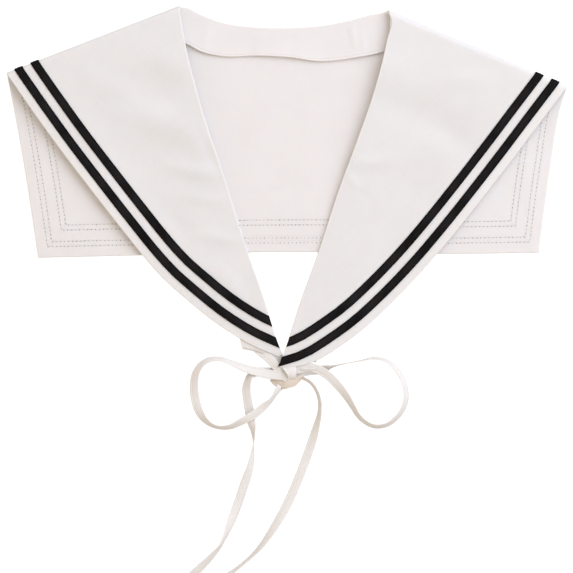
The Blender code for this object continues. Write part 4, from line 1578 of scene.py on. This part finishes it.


# %% [markdown]
# ### Cotton of the collar and the band
#
# Off-white cotton of middle weight, with about 25 threads to the centimetre. The colour lies between a
# cream and a paler cream by the streaks and clouds, and the gaps between the threads are painted a touch
# darker, as painted shade in the hollows of the weave.
# Four stitched rows run round the collar's border, where the tapes are sewn on, so the puckers of all
# four go into its bump. A little light passes through the cloth, which keeps the shade under it pale. The
# lining and the band are a touch paler and warmer than the face, as the picture shows them.

# %% Cotton material
COTTON_THREAD = 0.4
COTTON_PALE = (0.896, 0.890, 0.884, 1.0)
COTTON_DEEP = (0.856, 0.849, 0.842, 1.0)
LINING_PALE = (0.938, 0.912, 0.905, 1.0)
LINING_DEEP = (0.912, 0.882, 0.872, 1.0)
# the colour below is painted shade, which the gaps between the threads darken towards
COTTON_GAP_SHADE = (0.68, 0.63, 0.60, 1.0)
COTTON_SHEEN = 0.12
COTTON_SPECULAR = 0.25
COTTON_THROUGH = 0.45  # how much of the light goes into the cloth
COTTON_GAP_SHADING = 0.35  # how much darker the gaps between the threads make it
PUCKER_DEPTH = 0.55
SLUB_DEPTH = 0.014
WEAVE_DEPTH = 0.035
BAND_SEAM_AT = 1.5


def make_cotton(name, rows, pale, deep):
    made, tree, shader = new_material(name, 0.9, COTTON_SHEEN, COTTON_SPECULAR)
    let_light_through(shader, COTTON_THROUGH)
    address = uv_address(tree, "cloth")
    along, inward = split(tree, uv_address(tree, "border"))
    weave = use_group(tree, weave_group, Address=address, Thread=COTTON_THREAD, Wander=0.16)
    tone = use_group(tree, tone_group, Address=address, Yarn=1.0)
    streaks, clouds = tone.outputs["Streaks"], tone.outputs["Clouds"]
    toned = times(tree, plus(tree, streaks, clouds), 0.5)
    cloth_colour = blend_colour(tree, toned, deep, pale)
    # the gaps between the threads get painted shade
    gaps = times(tree, weave.outputs["Gap"], COTTON_GAP_SHADING)
    feed(tree, shader.inputs["Base Color"], blend_colour(tree, gaps, cloth_colour, COTTON_GAP_SHADE))
    feed(tree, shader.inputs["Roughness"], ramp_between(tree, toned, 0.0, 1.0, 0.93, 0.84))
    puckers = None
    for row in rows:
        stitched = use_group(tree, row_group, Along=along, In=inward, Row=row, Reach=3.4, Ripple=0.7)
        height = stitched.outputs["Height"]
        puckers = height if puckers is None else plus(tree, puckers, height)
    normal = bump(tree, puckers, PUCKER_DEPTH)
    normal = bump(tree, streaks, SLUB_DEPTH, normal)
    normal = bump(tree, weave.outputs["Height"], WEAVE_DEPTH, normal)
    feed(tree, shader.inputs["Normal"], normal)
    return made


collar_cotton = make_cotton("collar_cotton", FLAP_ROWS, COTTON_PALE, COTTON_DEEP)
lining_cotton = make_cotton("lining_cotton", FLAP_ROWS, LINING_PALE, LINING_DEEP)
band_cotton = make_cotton("band_cotton", (BAND_SEAM_AT,), LINING_PALE, LINING_DEEP)
print("materials:", collar_cotton.name, lining_cotton.name, band_cotton.name)

# %% [markdown]
# ### Black woven tape
#
# The tape is finely ribbed across its width, as grosgrain is. It is nearly black, with a dull face and
# slightly darker along both edges. Its black is a little lighter in soft clouds along the run. Very
# little gloss is left, or the tape would look grey all over under a broad light.

# %% Black tape material
TAPE_RIB = 0.55
TAPE_BLACK = (0.0035, 0.0030, 0.0034, 1.0)
TAPE_EDGE = (0.0022, 0.0020, 0.0022, 1.0)
# a paler black that the soft clouds and streaks blend towards
TAPE_PALER_BLACK = (0.0225, 0.0203, 0.0220, 1.0)
TAPE_CLOUDS = 0.7  # how much of the change to the paler black comes in clouds, the rest being streaks
TAPE_SPECULAR = 0.05
DARKER_EDGE_REACH = (0.9, 0.2)  # the darker edge starts and is full this far in from the tape's side
SEAM_DEPTH = 0.3
RIB_DEPTH = 0.06
TAPE_WEAVE_DEPTH = 0.03


def make_tape():
    made, tree, shader = new_material("black_tape", 0.75, 0.0, TAPE_SPECULAR)
    address = uv_address(tree, "cloth")
    across_it, along = split(tree, address)
    ribs = math_node(tree, "SINE", times(tree, along, 2 * math.pi / TAPE_RIB))
    weave = use_group(tree, weave_group, Address=address, Thread=TAPE_RIB / 2, Wander=0.08)
    tone = use_group(tree, tone_group, Address=address, Yarn=1.6)
    clouds = times(tree, tone.outputs["Clouds"], TAPE_CLOUDS)
    streaks = times(tree, tone.outputs["Streaks"], 1 - TAPE_CLOUDS)
    face = blend_colour(tree, plus(tree, clouds, streaks), TAPE_BLACK, TAPE_PALER_BLACK)
    from_middle = math_node(tree, "ABSOLUTE", minus(tree, across_it, TAPE_WIDTH / 2))
    starts, full = (TAPE_WIDTH / 2 - inset for inset in DARKER_EDGE_REACH)
    at_edge = ramp_between(tree, from_middle, starts, full)
    feed(tree, shader.inputs["Base Color"], blend_colour(tree, at_edge, face, TAPE_EDGE))
    feed(tree, shader.inputs["Roughness"], ramp_between(tree, weave.outputs["Height"], 0.0, 1.0, 0.85, 0.66))
    folded_in = minus(tree, TAPE_WIDTH / 2, from_middle)
    row = use_group(tree, row_group, Along=along, In=folded_in, Row=TAPE_STITCH_AT, Reach=1.6, Ripple=0.4)
    normal = bump(tree, row.outputs["Height"], SEAM_DEPTH)
    normal = bump(tree, ramp_between(tree, ribs, -1.0, 1.0), RIB_DEPTH, normal)
    normal = bump(tree, weave.outputs["Height"], TAPE_WEAVE_DEPTH, normal)
    feed(tree, shader.inputs["Normal"], normal)
    return made


black_tape = make_tape()
print("material:", black_tape.name)

# %% [markdown]
# ### Cotton of the ties
#
# The ties are the same cotton cut on the bias, so their threads run at 45 degrees. Turning the address
# by that angle before the weave is all it takes. Their colour is painted a little warmer than the collar's,
# as painted light that passes through a narrow strip and comes back from its inner fold. The two strands
# folded inside the knot are painted warmer still and darker: painted shade, since the light reaches them
# only through the others.

# %% Tie material
# the ties' colours are painted a touch warm: painted light that passes through the narrow strip
TIE_PALE = (0.912, 0.900, 0.880, 1.0)
TIE_DEEP = (0.872, 0.856, 0.830, 1.0)
# painted shade: the strands folded in the knot are darker and warmer, for lying in the shade of the others
KNOT_SHADE_PALE = (0.820, 0.740, 0.650, 1.0)
KNOT_SHADE_DEEP = (0.760, 0.660, 0.550, 1.0)
TIE_STITCH_AT = 1.5
TIE_THROUGH = 0.2
TIE_GAP_SHADING = 0.3


def make_tie_cotton(name, pale, deep):
    made, tree, shader = new_material(name, 0.88, COTTON_SHEEN, COTTON_SPECULAR)
    let_light_through(shader, TIE_THROUGH)
    address = uv_address(tree, "cloth")
    across_it, along = split(tree, address)
    turned = tree.nodes.new("ShaderNodeMapping")
    turned.inputs["Rotation"].default_value = (0.0, 0.0, math.radians(45))
    feed(tree, turned.inputs["Vector"], address)
    bias = turned.outputs["Vector"]
    weave = use_group(tree, weave_group, Address=bias, Thread=COTTON_THREAD, Wander=0.16)
    tone = use_group(tree, tone_group, Address=bias, Yarn=1.3)
    face = blend_colour(tree, tone.outputs["Streaks"], deep, pale)
    # the gaps between the threads get painted shade
    gaps = times(tree, weave.outputs["Gap"], TIE_GAP_SHADING)
    feed(tree, shader.inputs["Base Color"], blend_colour(tree, gaps, face, COTTON_GAP_SHADE))
    feed(tree, shader.inputs["Roughness"], ramp_between(tree, tone.outputs["Clouds"], 0.0, 1.0, 0.92, 0.84))
    row = use_group(tree, row_group, Along=along, In=across_it, Row=TIE_STITCH_AT, Reach=2.4, Ripple=0.7)
    normal = bump(tree, row.outputs["Height"], SEAM_DEPTH)
    normal = bump(tree, weave.outputs["Height"], WEAVE_DEPTH, normal)
    feed(tree, shader.inputs["Normal"], normal)
    return made


tie_cotton = make_tie_cotton("tie_cotton", TIE_PALE, TIE_DEEP)
# the folded strands of the knot get the painted shade colours
knot_shade_cotton = make_tie_cotton("knot_shade_cotton", KNOT_SHADE_PALE, KNOT_SHADE_DEEP)
print("materials:", tie_cotton.name, knot_shade_cotton.name)

# %% [markdown]
# ### Threads
#
# A thread is two or three twisted strands. The twist is a fine slanting ripple, which the weave group
# gives as well when its threads are narrow. The dots in the needle holes are grey rather than black,
# because the ivory thread half covers them.

# %% Thread materials
TWIST = 0.14  # the width of a twisted strand
TWIST_DEPTH = 0.03
THREAD_SPECULAR = 0.1


def make_thread(name, colour, dusty, roughness):
    made, tree, shader = new_material(name, roughness, 0.0, THREAD_SPECULAR)
    address = uv_address(tree, "cloth")
    tone = use_group(tree, tone_group, Address=address, Yarn=3.0)
    weave = use_group(tree, weave_group, Address=address, Thread=TWIST, Wander=0.05)
    feed(tree, shader.inputs["Base Color"], blend_colour(tree, tone.outputs["Streaks"], colour, dusty))
    feed(tree, shader.inputs["Normal"], bump(tree, weave.outputs["Height"], TWIST_DEPTH))
    return made


black_thread = make_thread("black_thread", (0.006, 0.006, 0.007, 1.0), (0.012, 0.012, 0.013, 1.0), 0.7)
ivory_thread = make_thread("ivory_thread", (0.84, 0.82, 0.81, 1.0), (0.90, 0.88, 0.87, 1.0), 0.8)
hole_thread = make_thread("needle_hole_thread", (0.09, 0.10, 0.10, 1.0), (0.28, 0.29, 0.29, 1.0), 0.8)
print("materials:", black_thread.name, ivory_thread.name, hole_thread.name)

# %% Put the materials on
FINISHES = [(collar, collar_cotton), (band, band_cotton)]
FINISHES += [(piece, knot_shade_cotton) for piece in folded]
FINISHES += [(piece, black_tape) for piece in tapes]
FINISHES += [(tie[0], tie_cotton) for tie in (loop_left, loop_right, tail_left, tail_right, base_left)]
FINISHES.append((wrap, tie_cotton))
FINISHES += [(piece, black_thread) for piece in tape_threads]
FINISHES += [(bobbin, ivory_thread), (dots, hole_thread)]
for piece, finish in FINISHES:
    piece.data.materials.append(finish)


def line_wrong_side(piece, columns, rims, lining):
    """Puts the lining on the faces of the wrong side, which have their place in every strip of faces."""
    piece.data.materials.append(lining)
    size = 2 * (columns + rims)
    strips = (len(piece.data.polygons) - 2 * (columns + 1)) // size
    strip = np.zeros(size, np.int32)
    strip[columns + rims : 2 * columns + rims - 1] = 1
    lined = np.zeros(len(piece.data.polygons), np.int32)
    lined[: strips * size] = np.tile(strip, strips)
    piece.data.polygons.foreach_set("material_index", lined)


line_wrong_side(collar, COLLAR_COLUMNS + 1, len(RIM_ANGLES), lining_cotton)

# %% [markdown]


# %% [markdown]
# ## Table and light
#
# The picture has a plain white ground and one broad, soft light from the upper right. The table is a
# pale sheet that glows for the camera alone, so its shadows stay faint while the collar isn't lit from
# below. The main light is a large cool panel, low enough for the folds to cast soft shadows. A warm sky
# fills them, and a small warm panel on the left reaches under the right front's edge.

# %% The table
TABLE_HALF = 3000.0
TABLE_TOP = -0.15
TABLE_COLOUR = (0.55, 0.55, 0.55, 1.0)
TABLE_GLOW = 0.8
WHITE = (1.0, 1.0, 1.0, 1.0)
GRAIN_SCALE = 900.0


def add_table():
    corners = [(-1, -1), (1, -1), (1, 1), (-1, 1)]
    points = [(x * TABLE_HALF * MM, y * TABLE_HALF * MM, TABLE_TOP * MM) for x, y in corners]
    mesh = bpy.data.meshes.new("table")
    mesh.from_pydata(points, [], [(0, 1, 2, 3)])
    made, tree, shader = new_material("table_paper", 0.9, 0.0, 0.1)
    grain = noise(tree, tree.nodes.new("ShaderNodeTexCoord").outputs["Object"], GRAIN_SCALE)
    feed(tree, shader.inputs["Roughness"], ramp_between(tree, grain, 0.3, 0.7, 0.86, 0.94))
    shader.inputs["Base Color"].default_value = TABLE_COLOUR
    shader.inputs["Emission Color"].default_value = WHITE
    seen = tree.nodes.new("ShaderNodeLightPath").outputs["Is Camera Ray"]
    feed(tree, shader.inputs["Emission Strength"], ramp_between(tree, seen, 0.0, 1.0, 0.0, TABLE_GLOW))
    mesh.materials.append(made)
    table = bpy.data.objects.new("table", mesh)
    bpy.context.scene.collection.objects.link(table)


add_table()

# %% Two panels, and a warm sky
Panel = namedtuple("Panel", "name turn away height width tall power colour")
PANELS = [
    Panel("key", 40.0, 1950.0, 1640.0, 3.0, 2.1, 52.0, (0.745, 0.82, 1.0)),
    Panel("fill", 196.0, 2300.0, 620.0, 2.4, 1.0, 4.0, (1.0, 0.80, 0.62)),
]
SKY_COLOUR = (1.0, 0.89, 0.775, 1.0)
SKY_STRENGTH = 0.715


def add_panel(panel):
    """A light panel that faces the collar: away is its distance on the table, height that of its middle."""
    turn = math.radians(panel.turn)
    rise = math.atan2(panel.height, panel.away)
    data = bpy.data.lights.new(panel.name, "AREA")
    data.shape = "RECTANGLE"
    data.size = panel.width
    data.size_y = panel.tall
    data.energy = panel.power
    data.color = panel.colour
    light = bpy.data.objects.new(panel.name, data)
    light.location = (
        panel.away * MM * math.cos(turn),
        panel.away * MM * math.sin(turn) + CAMERA_PLACE[1] * MM,
        panel.height * MM,
    )
    light.rotation_euler = (math.radians(90) - rise, 0.0, math.radians(90) + turn)
    bpy.context.scene.collection.objects.link(light)


def add_sky():
    sky = bpy.data.worlds.new("studio")
    sky.use_nodes = True
    background = sky.node_tree.nodes["Background"]
    background.inputs["Color"].default_value = SKY_COLOUR
    background.inputs["Strength"].default_value = SKY_STRENGTH
    bpy.context.scene.world = sky


for panel in PANELS:
    add_panel(panel)
add_sky()
bpy.context.scene.view_settings.view_transform = "Standard"
